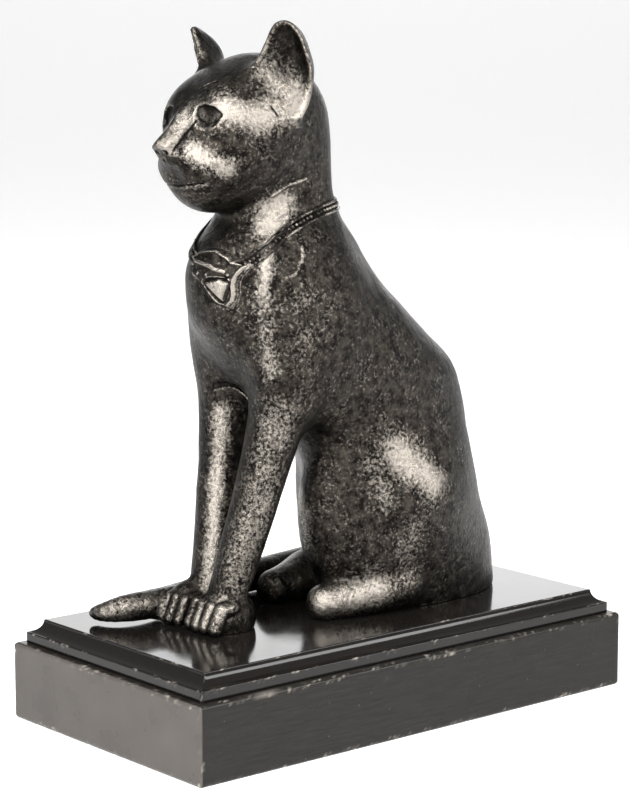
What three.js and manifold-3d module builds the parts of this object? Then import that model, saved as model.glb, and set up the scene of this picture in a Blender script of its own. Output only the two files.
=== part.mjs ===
// A seated cat of ancient Egyptian kind, cast in bronze, on a moulded wooden plinth.
// Millimetres, +Z up. The origin is the middle of the plinth's underside. The cat looks along -Y,
// and its left side is towards +X.
import * as THREE from 'three';
import { mergeVertices } from 'three/addons/utils/BufferGeometryUtils.js';
import Module from 'manifold-3d';

// Driving dimensions, in millimetres.
const CAT_HEIGHT = 320; // from the plinth's top to the tip of the higher ear
const BLOCK_LENGTH = 300; // lower block of the plinth, along Y
const BLOCK_WIDTH = 166; // along X
const BLOCK_HEIGHT = 42;
const BLOCK_EDGE = 2; // rounding of the block's edges
const BOARD_SETBACK = 4.8; // step from the block's side in to the moulded board's side
const BOARD_SIDE = 6; // height of the board's upright edge
const COVE_WIDTH = 7.2; // how far the hollow moulding goes in
const COVE_HEIGHT = 7; // and how far it rises, up to the plinth's top

// The figure is laid out in canon units: it stands CANON of them high, and every place and size
// below is in them, so the pose and the proportions hold at any height.
const CANON = 320;
const UNIT = CAT_HEIGHT / CANON;
const SAMPLE_STEP = 2.4; // spacing of the samples that the skin is drawn from, in canon units
const SKIN_FACES = 9300; // facets left on the figure once its flat places are thinned out
const BELOW_BASE = 0.5; // the skin is drawn this far below the base, which is then cut off flat

// Materials: colour, roughness and metalness.
const BRONZE = new THREE.MeshStandardMaterial({ color: 0x2a2622, roughness: 0.42, metalness: 0.85 });
const EBONISED = new THREE.MeshStandardMaterial({ color: 0x14110f, roughness: 0.35, metalness: 0 });
const POLISHED = new THREE.MeshStandardMaterial({ color: 0x100e0d, roughness: 0.12, metalness: 0 });

// Joins of distance fields. Each form below is a function of x, y and z that is negative inside.
function soften(a, b, blend) {
  const h = Math.max(blend - Math.abs(a - b), 0) / blend;
  return Math.min(a, b) - h * h * blend * 0.25;
}

function length(a, b, c) {
  return Math.sqrt(a * a + b * b + c * c);
}

function join(blend, ...forms) {
  return (x, y, z) => {
    let sum = forms[0](x, y, z);
    for (let i = 1; i < forms.length; i += 1) sum = soften(sum, forms[i](x, y, z), blend);
    return sum;
  };
}

function carve(blend, body, tool) {
  return (x, y, z) => -soften(-body(x, y, z), tool(x, y, z), blend);
}

function mirrored(form) {
  return (x, y, z) => form(Math.abs(x), y, z);
}

// An ellipsoid with its own turn, in degrees about X, Y and Z.
function ellipsoid([cx, cy, cz], [rx, ry, rz], [ax, ay, az] = [0, 0, 0]) {
  const angles = [ax, ay, az].map(THREE.MathUtils.degToRad);
  const turn = new THREE.Matrix4().makeRotationFromEuler(new THREE.Euler(...angles, 'ZYX'));
  const m = turn.transpose().elements;
  return (x, y, z) => {
    const u = x - cx;
    const v = y - cy;
    const w = z - cz;
    const p = m[0] * u + m[4] * v + m[8] * w;
    const q = m[1] * u + m[5] * v + m[9] * w;
    const r = m[2] * u + m[6] * v + m[10] * w;
    const k0 = length(p / rx, q / ry, r / rz) + 1e-6;
    const k1 = length(p / (rx * rx), q / (ry * ry), r / (rz * rz)) + 1e-9;
    return (k0 * (k0 - 1)) / k1;
  };
}

// A smooth run of values through knots, each a list that starts with its place along the run.
function runThrough(knots) {
  const slopes = knots.map((knot, i) => {
    const before = knots[Math.max(i - 1, 0)];
    const after = knots[Math.min(i + 1, knots.length - 1)];
    const left = knot.map((v, k) => (v - before[k]) / (knot[0] - before[0] || 1));
    const right = knot.map((v, k) => (after[k] - v) / (after[0] - knot[0] || 1));
    if (i === 0) return right;
    if (i === knots.length - 1) return left;
    return left.map((v, k) => (v + right[k]) / 2);
  });
  return (place, out) => {
    const t = Math.min(Math.max(place, knots[0][0]), knots[knots.length - 1][0]);
    let i = 0;
    while (i < knots.length - 2 && t > knots[i + 1][0]) i += 1;
    const span = knots[i + 1][0] - knots[i][0];
    const u = (t - knots[i][0]) / span;
    const u2 = u * u;
    const u3 = u2 * u;
    for (let k = 1; k < knots[0].length; k += 1) {
      const ends = (2 * u3 - 3 * u2 + 1) * knots[i][k] + (3 * u2 - 2 * u3) * knots[i + 1][k];
      const bends = (u3 - 2 * u2 + u) * slopes[i][k] + (u3 - u2) * slopes[i + 1][k];
      out[k - 1] = ends + span * bends;
    }
    return out;
  };
}

// A column of level sections. Each knot is height, middle in x, front y, back y and half width;
// power 2 is an ellipse, and more is squarer.
function column(knots, power, cap) {
  const section = runThrough(knots);
  const [here, above] = [[0, 0, 0, 0], [0, 0, 0, 0]];
  const [bottom, top] = [knots[0][0], knots[knots.length - 1][0]];
  return (x, y, z) => {
    section(z, here);
    const [middle, front, back, half] = here;
    section(z + 1, above);
    const depth = (back - front) / 2;
    const u = x - middle;
    const v = y - (front + back) / 2;
    const k0 = (Math.abs(u / half) ** power + Math.abs(v / depth) ** power) ** (1 / power) + 1e-6;
    const k2 = length(u / half, v / depth, 0) + 1e-6;
    const k1 = length(u / (half * half), v / (depth * depth), 0) + 1e-9;
    const nx = u / (half * half) / k1;
    const ny = v / (depth * depth) / k1;
    const edge = v < 0 ? (above[1] - front) * ny : (above[2] - back) * ny;
    const lean = nx * (above[0] - middle) + Math.abs(nx) * (above[3] - half) + edge;
    const side = ((k0 - 1) * k2) / k1 / Math.sqrt(1 + lean * lean);
    return -soften(-side, -Math.max(z - top, bottom - z), cap);
  };
}

// A round limb along a smooth line. Each knot is x, y, z and radius.
function limb(points, cutsPerSpan) {
  const line = runThrough(points.map((point, i) => [i, ...point]));
  const count = (points.length - 1) * cutsPerSpan;
  const rings = Array.from({ length: count + 1 }, (_, i) => line(i / cutsPerSpan, [0, 0, 0, 0]).slice());
  return (x, y, z) => {
    let nearest = 1e3;
    for (let i = 0; i < count; i += 1) {
      const a = rings[i];
      const b = rings[i + 1];
      const dx = b[0] - a[0];
      const dy = b[1] - a[1];
      const dz = b[2] - a[2];
      const u = x - a[0];
      const v = y - a[1];
      const w = z - a[2];
      const along = (u * dx + v * dy + w * dz) / (dx * dx + dy * dy + dz * dz);
      const t = Math.min(Math.max(along, 0), 1);
      const gap = length(u - t * dx, v - t * dy, w - t * dz);
      nearest = Math.min(nearest, gap - a[3] - t * (b[3] - a[3]));
    }
    return nearest;
  };
}

// Trunk and neck, one column from the base up into the skull.
const trunk = column([
  [-6, 0, 6, 117, 40],
  [30, 0, 2, 114.5, 42.5],
  [60, 0, -3, 105.5, 42],
  [80, 0, -8, 97, 42],
  [92, 0, -20, 92, 42.5],
  [112, 0, -46, 85, 43.5],
  [132, 0, -62, 77, 44.5],
  [150, 0, -75, 62, 44],
  [165, 0, -82, 47, 42],
  [180, 0, -84.5, 31.5, 39],
  [192, 0, -83.5, 18.5, 36],
  [204, 0, -78, 8, 32],
  [216, 0, -68, 1.5, 29],
  [230, 0, -60, -3, 28],
  [246, 0, -56, -5, 27],
  [262, 0, -56, -9, 25],
], 2.15, 10);

const haunches = join(
  6,
  ellipsoid([24, 34, 56], [25.5, 60, 62], [0, 0, 3]),
  ellipsoid([-24, 58, 56], [24.5, 49, 60], [0, 0, -3]),
);

const shoulders = mirrored(ellipsoid([25, -34, 158], [19, 32, 48], [-10, 0, 0]));

// Forelegs: they lean in and forward from the shoulders to the paws.
const leftForeleg = column([
  [-4, 8, -87, -66, 12],
  [15, 8, -84.5, -65, 11.8],
  [31, 9.5, -81, -59, 11.8],
  [52, 12, -76, -51.5, 12.2],
  [79, 15.5, -70, -43.5, 13],
  [106, 19, -65.5, -34, 14.5],
  [125, 21.5, -64, -25, 16.5],
  [150, 24, -64, -12, 17],
  [176, 24, -62, -12, 14],
], 2.2, 10);

const rightForeleg = column([
  [-4, -14.5, -80, -56, 11.5],
  [20, -15.5, -77.5, -54.5, 11.5],
  [42, -17, -74, -49.5, 12],
  [63, -19, -70.5, -45, 12.5],
  [84, -21, -67, -39, 13.2],
  [100, -23, -65, -33, 14],
  [125, -24.5, -63.5, -23, 16.5],
  [150, -25, -64, -12, 17],
  [176, -25, -62, -12, 14],
], 2.2, 10);

// Grooves between the toes: thin upright slots that stop short of the leg.
function toeGrooves(middle, front, spacing) {
  const slots = [-1, 0, 1].map((i) => {
    return ellipsoid([middle + i * spacing, front, 8], [1.1, 9, 11], [0, 0, i * -12]);
  });
  return join(0.4, ...slots);
}

const leftForepaw = carve(
  0.8,
  ellipsoid([6.5, -78.5, 5.5], [14.5, 16.5, 16.5]),
  toeGrooves(6.5, -95, 6.6),
);
const rightForepaw = carve(
  0.8,
  ellipsoid([-16, -82, 5.5], [13.5, 15.5, 16]),
  toeGrooves(-16, -97.5, 6.2),
);

const leftHindFoot = limb([[31, 26, 12, 14], [28, 5, 11, 12.8], [26, -10, 10, 12], [25, -16, 9.5, 11]], 1);
const rightHindFoot = limb([[-30, 30, 12, 13], [-27, 5, 10, 11.5], [-24, -10, 9, 11], [-22.5, -15, 9, 10.5]], 1);

// The tail leaves the rump on the right side and lies along it to the forepaws.
const tail = limb([
  [-14, 104, 20, 14],
  [-34, 95, 17, 13],
  [-47, 76, 13, 11],
  [-52, 50, 10.5, 10],
  [-51, 20, 9.8, 9.3],
  [-48, -10, 9.5, 9],
  [-43, -38, 9.2, 8.6],
  [-37, -64, 8.9, 8.1],
  [-33, -85, 8.9, 8],
  [-31, -101, 9.1, 7.9],
  [-33.5, -112, 8.8, 7.3],
  [-39, -118.5, 7.2, 5.8],
  [-45.5, -120.5, 5.6, 4.2],
  [-49, -120.5, 5, 2.8],
], 2);

// Head, before its slight tilt: skull, brows, cheeks, muzzle, chin and the straight nose.
const skull = ellipsoid([0, -47.2, 266], [33.5, 43.8, 35.5]);
const brows = mirrored(ellipsoid([13.5, -68, 272], [17.5, 22, 19]));
const cheeks = mirrored(ellipsoid([15, -66, 247], [19.5, 25, 19]));
const muzzle = ellipsoid([0, -86, 245], [16.5, 20.5, 14]);
const chin = ellipsoid([0, -73.2, 236], [16, 22.8, 13.8]);
const nose = limb([[0, -84, 280, 6], [0, -97, 267, 5.4], [0, -108.5, 255.5, 4.4]], 1);
const eyeSocket = ellipsoid([16.2, -91.5, 269.5], [7.4, 4, 4.6], [16, 22, 18]);
const mouth = ellipsoid([0, -94, 236.5], [17, 13, 1.6]);
const headMass = join(6, join(10, join(12, join(14, skull, cheeks), brows), muzzle, chin), nose);
const face = carve(1, carve(1.2, headMass, mirrored(eyeSocket)), mouth);

// An ear is a cupped leaf that stands on the side of the skull, open to the front and outside.
// Each knot is height up the ear, reach to its inner edge and reach to its outer edge.
const EAR_ROOT = new THREE.Vector3(30, -50, 282.3);
const EAR_UP = new THREE.Vector3(0.217, -0.217, 0.952).normalize();
const EAR_OPEN = new THREE.Vector3().crossVectors(new THREE.Vector3(0.806, 0.586, -0.05), EAR_UP).normalize();
const EAR_ACROSS = new THREE.Vector3().crossVectors(EAR_UP, EAR_OPEN);
const EAR_HEIGHT = 36.5;
const earOutline = runThrough([
  [-14, 16, 13],
  [4, 16.5, 13],
  [12, 15.5, 12.8],
  [20, 12.2, 12.2],
  [28, 8.2, 10],
  [33, 5.8, 7.4],
  [36.2, 3.8, 4.6],
  [37.5, 1.5, 2],
]);
const earBack = ellipsoid([31, -45, 282.3], [14, 11, 22], [-8, 0, 0]);

function ear(x, y, z) {
  const measure = (axis) => {
    return (x - EAR_ROOT.x) * axis.x + (y - EAR_ROOT.y) * axis.y + (z - EAR_ROOT.z) * axis.z;
  };
  const across = measure(EAR_ACROSS);
  const up = measure(EAR_UP);
  const open = measure(EAR_OPEN);
  const [inner, outer] = earOutline(up, [0, 0]);
  const half = (inner + outer) / 2;
  const side = Math.abs(across - (outer - inner) / 2);
  const reach = side / half;
  const edge = Math.max(side - half, up - EAR_HEIGHT);
  const rise = Math.min(Math.max(up / EAR_HEIGHT, 0), 1);
  const cup = 5.5 * (Math.min(reach * reach, 1.6) - 0.55) * (1 - 0.55 * rise) - 1.5 * rise;
  const slope = (5.5 * reach) / Math.max(half, 4);
  const wall = (Math.abs(open - cup) - 2.6 - 2.2 * (1 - rise)) / Math.sqrt(1 + slope * slope);
  const leaf = -soften(-Math.max(edge, -12 - up), -wall, 3);
  const back = -soften(-earBack(x, y, z), cup - open - 1, 2);
  return soften(leaf, back, 6);
}

// The head leans a little to the cat's right, about the middle of the neck.
const HEAD_TILT = THREE.MathUtils.degToRad(3.2);
const TILT_HEIGHT = 245;
const uprightHead = join(5, face, mirrored(ear));

function head(x, y, z) {
  const [cos, sin] = [Math.cos(HEAD_TILT), Math.sin(HEAD_TILT)];
  const rise = z - TILT_HEIGHT;
  return uprightHead(cos * x + sin * rise, y, TILT_HEIGHT - sin * x + cos * rise);
}

// The collar lies on the neck and hangs lower towards the chest.
const COLLAR_NAPE = [8, 220]; // y and z at the nape
const COLLAR_RUN = 88; // from the nape forward to the chest
const COLLAR_DROP = 27;
const COLLAR_LIFT = 0.4; // of its middle line above the skin
const COLLAR_RADIUS = 2.1;
const neckAndShoulders = join(14, trunk, shoulders);

function collar(x, y, z) {
  const run = Math.min(Math.max((COLLAR_NAPE[0] - y) / COLLAR_RUN, 0), 1.1);
  const height = COLLAR_NAPE[1] - COLLAR_DROP * run ** 2.6;
  const lean = (2.6 * COLLAR_DROP * run ** 1.6) / COLLAR_RUN;
  const offLine = (z - height) / Math.sqrt(1 + lean * lean);
  return length(neckAndShoulders(x, y, z) - COLLAR_LIFT, offLine, 0) - COLLAR_RADIUS;
}

// The pendant hangs from the collar at the front: a band and a rounded drop.
const pendant = join(
  1,
  limb([[-2, -84, 196, 2], [8, -83, 194.5, 2.2], [17, -78, 192, 2]], 1),
  ellipsoid([13, -81.5, 183], [8, 5, 9.5], [12, 0, 16]),
);

const standing = join(
  3,
  join(3, join(8, join(14, join(16, trunk, haunches), shoulders), join(2, leftForeleg, rightForeleg)),
    join(1.5, leftForepaw, rightForepaw)),
  join(4, leftHindFoot, rightHindFoot),
  tail,
);
const wholeCat = join(1, join(9, standing, head), collar, pendant);

function cat(x, y, z) {
  return Math.max(wholeCat(x, y, z), -z - BELOW_BASE);
}

// The skin of the figure is the surface where the field crosses zero. The field is sampled on a
// grid, close to the skin only: a block of samples that lies well clear of it takes one value.
const LOW = [-81, -136, -2 * SAMPLE_STEP];
const HIGH = [62, 134, 326];
const BLOCK = 4; // samples along one side of a block
const CLEAR = SAMPLE_STEP * BLOCK * 1.9; // past this distance no skin runs through a block

function sampleField() {
  const blocks = LOW.map((low, i) => Math.ceil((HIGH[i] - low) / SAMPLE_STEP / BLOCK));
  const size = blocks.map((count) => count * BLOCK + 1);
  const values = new Float32Array(size[0] * size[1] * size[2]).fill(NaN);
  const place = (n, axis) => LOW[axis] + n * SAMPLE_STEP;
  const fill = ([i, j, k], value) => {
    for (let c = k * BLOCK; c <= (k + 1) * BLOCK; c += 1) {
      for (let b = j * BLOCK; b <= (j + 1) * BLOCK; b += 1) {
        for (let a = i * BLOCK; a <= (i + 1) * BLOCK; a += 1) {
          const n = (c * size[1] + b) * size[0] + a;
          if (Number.isNaN(values[n])) values[n] = value ?? cat(place(a, 0), place(b, 1), place(c, 2));
        }
      }
    }
  };
  const clear = [];
  for (let k = 0; k < blocks[2]; k += 1) {
    for (let j = 0; j < blocks[1]; j += 1) {
      for (let i = 0; i < blocks[0]; i += 1) {
        const middle = [i, j, k].map((n, axis) => place((n + 0.5) * BLOCK, axis));
        const distance = cat(...middle);
        if (Math.abs(distance) > CLEAR) clear.push([[i, j, k], distance]);
        else fill([i, j, k]);
      }
    }
  }
  clear.forEach(([block, distance]) => fill(block, distance));
  return { size, values };
}

// Each cube of the grid is split into six tetrahedra that run from its lowest corner to its
// highest, one for each order of the three axes, so that the skin always closes.
const ORDERS = [[1, 2, 4], [1, 4, 2], [2, 1, 4], [2, 4, 1], [4, 1, 2], [4, 2, 1]];
const CORNER_GAP = 0.08; // share of an edge that the skin keeps off the grid's corners
const TETRAHEDRA = ORDERS.map(([first, second]) => [0, first, first + second, 7]);

function drawSkin({ size, values }) {
  const points = [];
  const faces = [];
  const made = new Map();
  const stride = [1, size[0], size[0] * size[1]];
  const corner = (base, c) => base + (c & 1) * stride[0] + ((c >> 1) & 1) * stride[1] + (c >> 2) * stride[2];
  const position = (n) => [n % size[0], Math.floor(n / stride[1]) % size[1], Math.floor(n / stride[2])];
  const crossing = (base, from, to) => {
    const [low, high] = [corner(base, from), corner(base, to)];
    const key = low * 8 + (to - from);
    if (!made.has(key)) {
      const share = values[low] / (values[low] - values[high]);
      const [a, b] = [position(low), position(high)];
      made.set(key, points.length);
      const kept = Math.min(Math.max(share, CORNER_GAP), 1 - CORNER_GAP);
      points.push(a.map((v, axis) => LOW[axis] + (v + kept * (b[axis] - v)) * SAMPLE_STEP));
    }
    return made.get(key);
  };
  const addFace = (a, b, c, insidePoint) => {
    const [p, q, r] = [a, b, c].map((n) => new THREE.Vector3(...points[n]));
    const normal = q.sub(p).cross(r.sub(p));
    const inward = new THREE.Vector3(...insidePoint).sub(p).dot(normal) > 0;
    faces.push(inward ? [a, c, b] : [a, b, c]);
  };
  for (let k = 0; k < size[2] - 1; k += 1) {
    for (let j = 0; j < size[1] - 1; j += 1) {
      for (let i = 0; i < size[0] - 1; i += 1) {
        const base = (k * size[1] + j) * size[0] + i;
        let within = 0;
        for (let c = 0; c < 8; c += 1) within += values[corner(base, c)] < 0 ? 1 : 0;
        if (within === 0 || within === 8) continue;
        for (const tetrahedron of TETRAHEDRA) {
          const inside = tetrahedron.filter((c) => values[corner(base, c)] < 0);
          const outside = tetrahedron.filter((c) => !inside.includes(c));
          if (inside.length === 0 || outside.length === 0) continue;
          const cut = (c, d) => (c < d ? crossing(base, c, d) : crossing(base, d, c));
          const anchor = position(corner(base, inside[0])).map((v, axis) => LOW[axis] + v * SAMPLE_STEP);
          if (inside.length === 2) {
            const [a, b] = [cut(inside[0], outside[0]), cut(inside[0], outside[1])];
            const [c, d] = [cut(inside[1], outside[1]), cut(inside[1], outside[0])];
            addFace(a, b, c, anchor);
            addFace(a, c, d, anchor);
          } else {
            const [alone, others] = inside.length === 1 ? [inside[0], outside] : [outside[0], inside];
            addFace(...others.map((c) => cut(alone, c)), anchor);
          }
        }
      }
    }
  }
  return { points, faces };
}

// A heap of edges, cheapest first.
class Heap {
  constructor() {
    this.items = [];
  }

  push(item) {
    const { items } = this;
    let i = items.push(item) - 1;
    while (i > 0) {
      const parent = (i - 1) >> 1;
      if (items[parent].cost <= item.cost) break;
      items[i] = items[parent];
      i = parent;
    }
    items[i] = item;
  }

  pop() {
    const { items } = this;
    const top = items[0];
    const last = items.pop();
    if (items.length === 0) return top;
    let i = 0;
    for (;;) {
      let child = 2 * i + 1;
      if (child >= items.length) break;
      if (child + 1 < items.length && items[child + 1].cost < items[child].cost) child += 1;
      if (items[child].cost >= last.cost) break;
      items[i] = items[child];
      i = child;
    }
    items[i] = last;
    return top;
  }
}

// The skin while it is being thinned: its points, its faces and the faces round each point. Each
// point carries ten numbers, the sum of its squared distances to the planes that have met there.
class ThinningSkin {
  constructor({ points, faces }) {
    this.place = Float64Array.from(points.flat());
    this.corner = Int32Array.from(faces.flat());
    this.faceCount = faces.length;
    this.around = points.map(() => []);
    this.error = new Float64Array(points.length * 10);
    this.stamp = new Uint32Array(points.length);
    this.mark = new Int32Array(points.length).fill(-1);
    this.sum = new Float64Array(10);
    this.normal = [0, 0, 0];
    this.heap = new Heap();
    for (let f = 0; f < faces.length; f += 1) this.addFaceError(f);
  }

  // The cross product of two sides of a face, with corner p moved to x, y, z if it is one of them.
  setNormal(f, p, x, y, z) {
    const { place, corner, normal } = this;
    const [a, b, c] = [corner[3 * f], corner[3 * f + 1], corner[3 * f + 2]];
    const ax = a === p ? x : place[3 * a];
    const ay = a === p ? y : place[3 * a + 1];
    const az = a === p ? z : place[3 * a + 2];
    const ux = (b === p ? x : place[3 * b]) - ax;
    const uy = (b === p ? y : place[3 * b + 1]) - ay;
    const uz = (b === p ? z : place[3 * b + 2]) - az;
    const vx = (c === p ? x : place[3 * c]) - ax;
    const vy = (c === p ? y : place[3 * c + 1]) - ay;
    const vz = (c === p ? z : place[3 * c + 2]) - az;
    normal[0] = uy * vz - uz * vy;
    normal[1] = uz * vx - ux * vz;
    normal[2] = ux * vy - uy * vx;
    const sides = ux * ux + uy * uy + uz * uz + vx * vx + vy * vy + vz * vz;
    return sides + length(ux - vx, uy - vy, uz - vz) ** 2;
  }

  addFaceError(f) {
    const { place, corner, around, error, normal } = this;
    this.setNormal(f, -1, 0, 0, 0);
    const size = length(...normal) || 1;
    const [a, b, c] = normal.map((v) => v / size);
    const first = 3 * corner[3 * f];
    const d = -(a * place[first] + b * place[first + 1] + c * place[first + 2]);
    const plane = [a * a, a * b, a * c, a * d, b * b, b * c, b * d, c * c, c * d, d * d];
    for (let k = 0; k < 3; k += 1) {
      const p = corner[3 * f + k];
      around[p].push(f);
      for (let i = 0; i < 10; i += 1) error[10 * p + i] += (plane[i] * size) / 2;
    }
  }

  errorAt(x, y, z) {
    const q = this.sum;
    const xPart = x * (q[0] * x + 2 * (q[1] * y + q[2] * z + q[3]));
    const yPart = y * (q[4] * y + 2 * (q[5] * z + q[6]));
    return xPart + yPart + z * (q[7] * z + 2 * q[8]) + q[9];
  }

  // Puts an edge in the heap, with the point that it would shrink to and what that costs.
  offer(a, b) {
    const { place, error, sum: q, stamp } = this;
    for (let i = 0; i < 10; i += 1) q[i] = error[10 * a + i] + error[10 * b + i];
    const [ax, ay, az] = [place[3 * a], place[3 * a + 1], place[3 * a + 2]];
    const [bx, by, bz] = [place[3 * b], place[3 * b + 1], place[3 * b + 2]];
    const edge = length(ax - bx, ay - by, az - bz);
    let [x, y, z] = [(ax + bx) / 2, (ay + by) / 2, (az + bz) / 2];
    const m00 = q[4] * q[7] - q[5] * q[5];
    const m01 = q[2] * q[5] - q[1] * q[7];
    const m02 = q[1] * q[5] - q[2] * q[4];
    const det = q[0] * m00 + q[1] * m01 + q[2] * m02;
    let cost = this.errorAt(x, y, z);
    if (Math.abs(det) > 1e-4 * (q[0] + q[4] + q[7]) ** 3) {
      const m11 = q[0] * q[7] - q[2] * q[2];
      const m12 = q[1] * q[2] - q[0] * q[5];
      const m22 = q[0] * q[4] - q[1] * q[1];
      const sx = -(m00 * q[3] + m01 * q[6] + m02 * q[8]) / det;
      const sy = -(m01 * q[3] + m11 * q[6] + m12 * q[8]) / det;
      const sz = -(m02 * q[3] + m12 * q[6] + m22 * q[8]) / det;
      if (length(sx - x, sy - y, sz - z) < edge) {
        [x, y, z] = [sx, sy, sz];
        cost = this.errorAt(x, y, z);
      }
    } else {
      for (const [ex, ey, ez] of [[ax, ay, az], [bx, by, bz]]) {
        const other = this.errorAt(ex, ey, ez);
        if (other < cost) {
          [x, y, z] = [ex, ey, ez];
          cost = other;
        }
      }
    }
    cost += EVENNESS * edge ** 4;
    this.heap.push({ cost, a, b, x, y, z, stampA: stamp[a], stampB: stamp[b] });
  }

  neighbours(p) {
    const { corner, around, mark } = this;
    const found = [];
    mark[p] = p;
    for (const f of around[p]) {
      for (let k = 0; k < 3; k += 1) {
        const n = corner[3 * f + k];
        if (mark[n] !== p) {
          mark[n] = p;
          found.push(n);
        }
      }
    }
    for (const n of found) mark[n] = -1;
    mark[p] = -1;
    return found;
  }

  // Whether moving p would turn one of its faces over or make a sliver of it.
  folds(p, other, x, y, z) {
    const { corner, around, normal } = this;
    for (const f of around[p]) {
      if (corner[3 * f] === other || corner[3 * f + 1] === other || corner[3 * f + 2] === other) continue;
      const sidesBefore = this.setNormal(f, -1, 0, 0, 0);
      const [nx, ny, nz] = normal;
      const sidesAfter = this.setNormal(f, p, x, y, z);
      const before = length(nx, ny, nz);
      const after = length(normal[0], normal[1], normal[2]);
      const dot = nx * normal[0] + ny * normal[1] + nz * normal[2];
      if (dot < FOLD_LIMIT * before * after) return true;
      const shape = after / sidesAfter;
      if (shape < SLIVER_LIMIT && shape < before / sidesBefore) return true;
    }
    return false;
  }

  // Draws an edge together to its point, unless that would spoil the skin, and says if it did.
  shrink({ a, b, x, y, z }) {
    const { place, corner, around, error, stamp } = this;
    const near = new Set(this.neighbours(a));
    const shared = this.neighbours(b).filter((n) => near.has(n));
    if (shared.length !== 2 || this.folds(a, b, x, y, z) || this.folds(b, a, x, y, z)) return false;
    [place[3 * a], place[3 * a + 1], place[3 * a + 2]] = [x, y, z];
    for (let i = 0; i < 10; i += 1) error[10 * a + i] += error[10 * b + i];
    for (const f of around[b]) {
      const corners = [corner[3 * f], corner[3 * f + 1], corner[3 * f + 2]];
      if (corners.includes(a)) {
        corners.filter((n) => n !== b).forEach((n) => { around[n] = around[n].filter((g) => g !== f); });
        corner[3 * f] = -1;
        this.faceCount -= 1;
      } else {
        corner[3 * f + corners.indexOf(b)] = a;
        around[a].push(f);
      }
    }
    around[b] = [];
    stamp[a] += 1;
    stamp[b] += 1;
    for (const n of this.neighbours(a)) this.offer(a, n);
    return true;
  }

  // The faces that are left, as places and indexes.
  result() {
    const { place, corner } = this;
    const kept = [];
    for (let f = 0; f < corner.length; f += 3) {
      if (corner[f] >= 0) kept.push(corner[f], corner[f + 1], corner[f + 2]);
    }
    return { place, kept };
  }
}

// Thins the skin: the edge whose loss moves the surface least is drawn together to one point,
// again and again.
const EVENNESS = 0.0015; // a small pull that keeps facets of like size on flat places
const FOLD_LIMIT = 0.2; // cosine of the most that a facet may turn in one step
const SLIVER_LIMIT = 0.05; // of twice a facet's area to the sum of its squared sides

function thinSkin(drawn, wanted) {
  const skin = new ThinningSkin(drawn);
  const { around, heap } = skin;
  for (let p = 0; p < around.length; p += 1) {
    for (const n of skin.neighbours(p)) if (n > p) skin.offer(p, n);
  }
  let waiting = [];
  let before = 0;
  while (skin.faceCount > wanted && before !== skin.faceCount) {
    before = skin.faceCount;
    while (skin.faceCount > wanted && heap.items.length > 0) {
      const edge = heap.pop();
      const current = skin.stamp[edge.a] === edge.stampA && skin.stamp[edge.b] === edge.stampB;
      if (current && !skin.shrink(edge)) waiting.push(edge);
    }
    waiting.forEach(({ a, b, stampA, stampB }) => {
      if (skin.stamp[a] === stampA && skin.stamp[b] === stampB) skin.offer(a, b);
    });
    waiting = [];
  }
  return skin.result();
}

const wasm = await Module();
wasm.setup();

function toSolid(geometry) {
  const bare = geometry.clone();
  bare.deleteAttribute('normal');
  bare.deleteAttribute('uv');
  const merged = mergeVertices(bare, 1e-5);
  const mesh = new wasm.Mesh({
    numProp: 3,
    vertProperties: new Float32Array(merged.attributes.position.array),
    triVerts: new Uint32Array(merged.index.array),
  });
  return new wasm.Manifold(mesh);
}

function toGeometry(solid) {
  const { vertProperties, triVerts } = solid.getMesh();
  const geometry = new THREE.BufferGeometry();
  geometry.setAttribute('position', new THREE.BufferAttribute(new Float32Array(vertProperties), 3));
  geometry.setIndex(new THREE.BufferAttribute(new Uint32Array(triVerts), 1));
  return geometry;
}

// The bronze cat, with its base cut off flat where it stands.
function catGeometry() {
  const { place, kept } = thinSkin(drawSkin(sampleField()), SKIN_FACES);
  const skin = new THREE.BufferGeometry();
  skin.setAttribute('position', new THREE.BufferAttribute(Float32Array.from(place, (v) => v * UNIT), 3));
  skin.setIndex(kept);
  const tall = CAT_HEIGHT * 1.5;
  const above = new THREE.BoxGeometry(tall, tall, tall);
  above.translate(0, 0, tall / 2);
  const geometry = toGeometry(toSolid(skin).intersect(toSolid(above)));
  geometry.computeVertexNormals();
  return geometry;
}

// A rectangle's corners, anticlockwise from above.
function corners(width, length, z) {
  const [x, y] = [width / 2, length / 2];
  return [[x, y, z], [-x, y, z], [-x, -y, z], [x, -y, z]];
}

// A solid of stacked rectangles: each level is a height and how far it is set in.
function stackedGeometry(width, length, levels) {
  const rings = levels.map(([z, inset]) => corners(width - 2 * inset, length - 2 * inset, z));
  const faces = [[0, 2, 1], [0, 3, 2]];
  for (let ring = 0; ring < rings.length - 1; ring += 1) {
    for (let i = 0; i < 4; i += 1) {
      const [a, b] = [4 * ring + i, 4 * ring + ((i + 1) % 4)];
      faces.push([a, b, b + 4], [a, b + 4, a + 4]);
    }
  }
  const last = 4 * (rings.length - 1);
  faces.push([last, last + 1, last + 2], [last, last + 2, last + 3]);
  const geometry = new THREE.BufferGeometry();
  geometry.setAttribute('position', new THREE.Float32BufferAttribute(rings.flat(2), 3));
  geometry.setIndex(faces.flat());
  geometry.computeVertexNormals();
  return geometry;
}

// The lower block, with its long edges eased.
const EASE_STEPS = 3;
function blockLevels() {
  const ease = Array.from({ length: EASE_STEPS + 1 }, (_, i) => {
    const angle = (i / EASE_STEPS) * (Math.PI / 2);
    return [BLOCK_EDGE * (1 - Math.cos(angle)), BLOCK_EDGE * (1 - Math.sin(angle))];
  });
  const lower = ease.map(([rise, inset]) => [rise, inset]);
  const upper = ease.map(([rise, inset]) => [BLOCK_HEIGHT - rise, inset]).reverse();
  return [...lower, ...upper];
}

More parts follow.
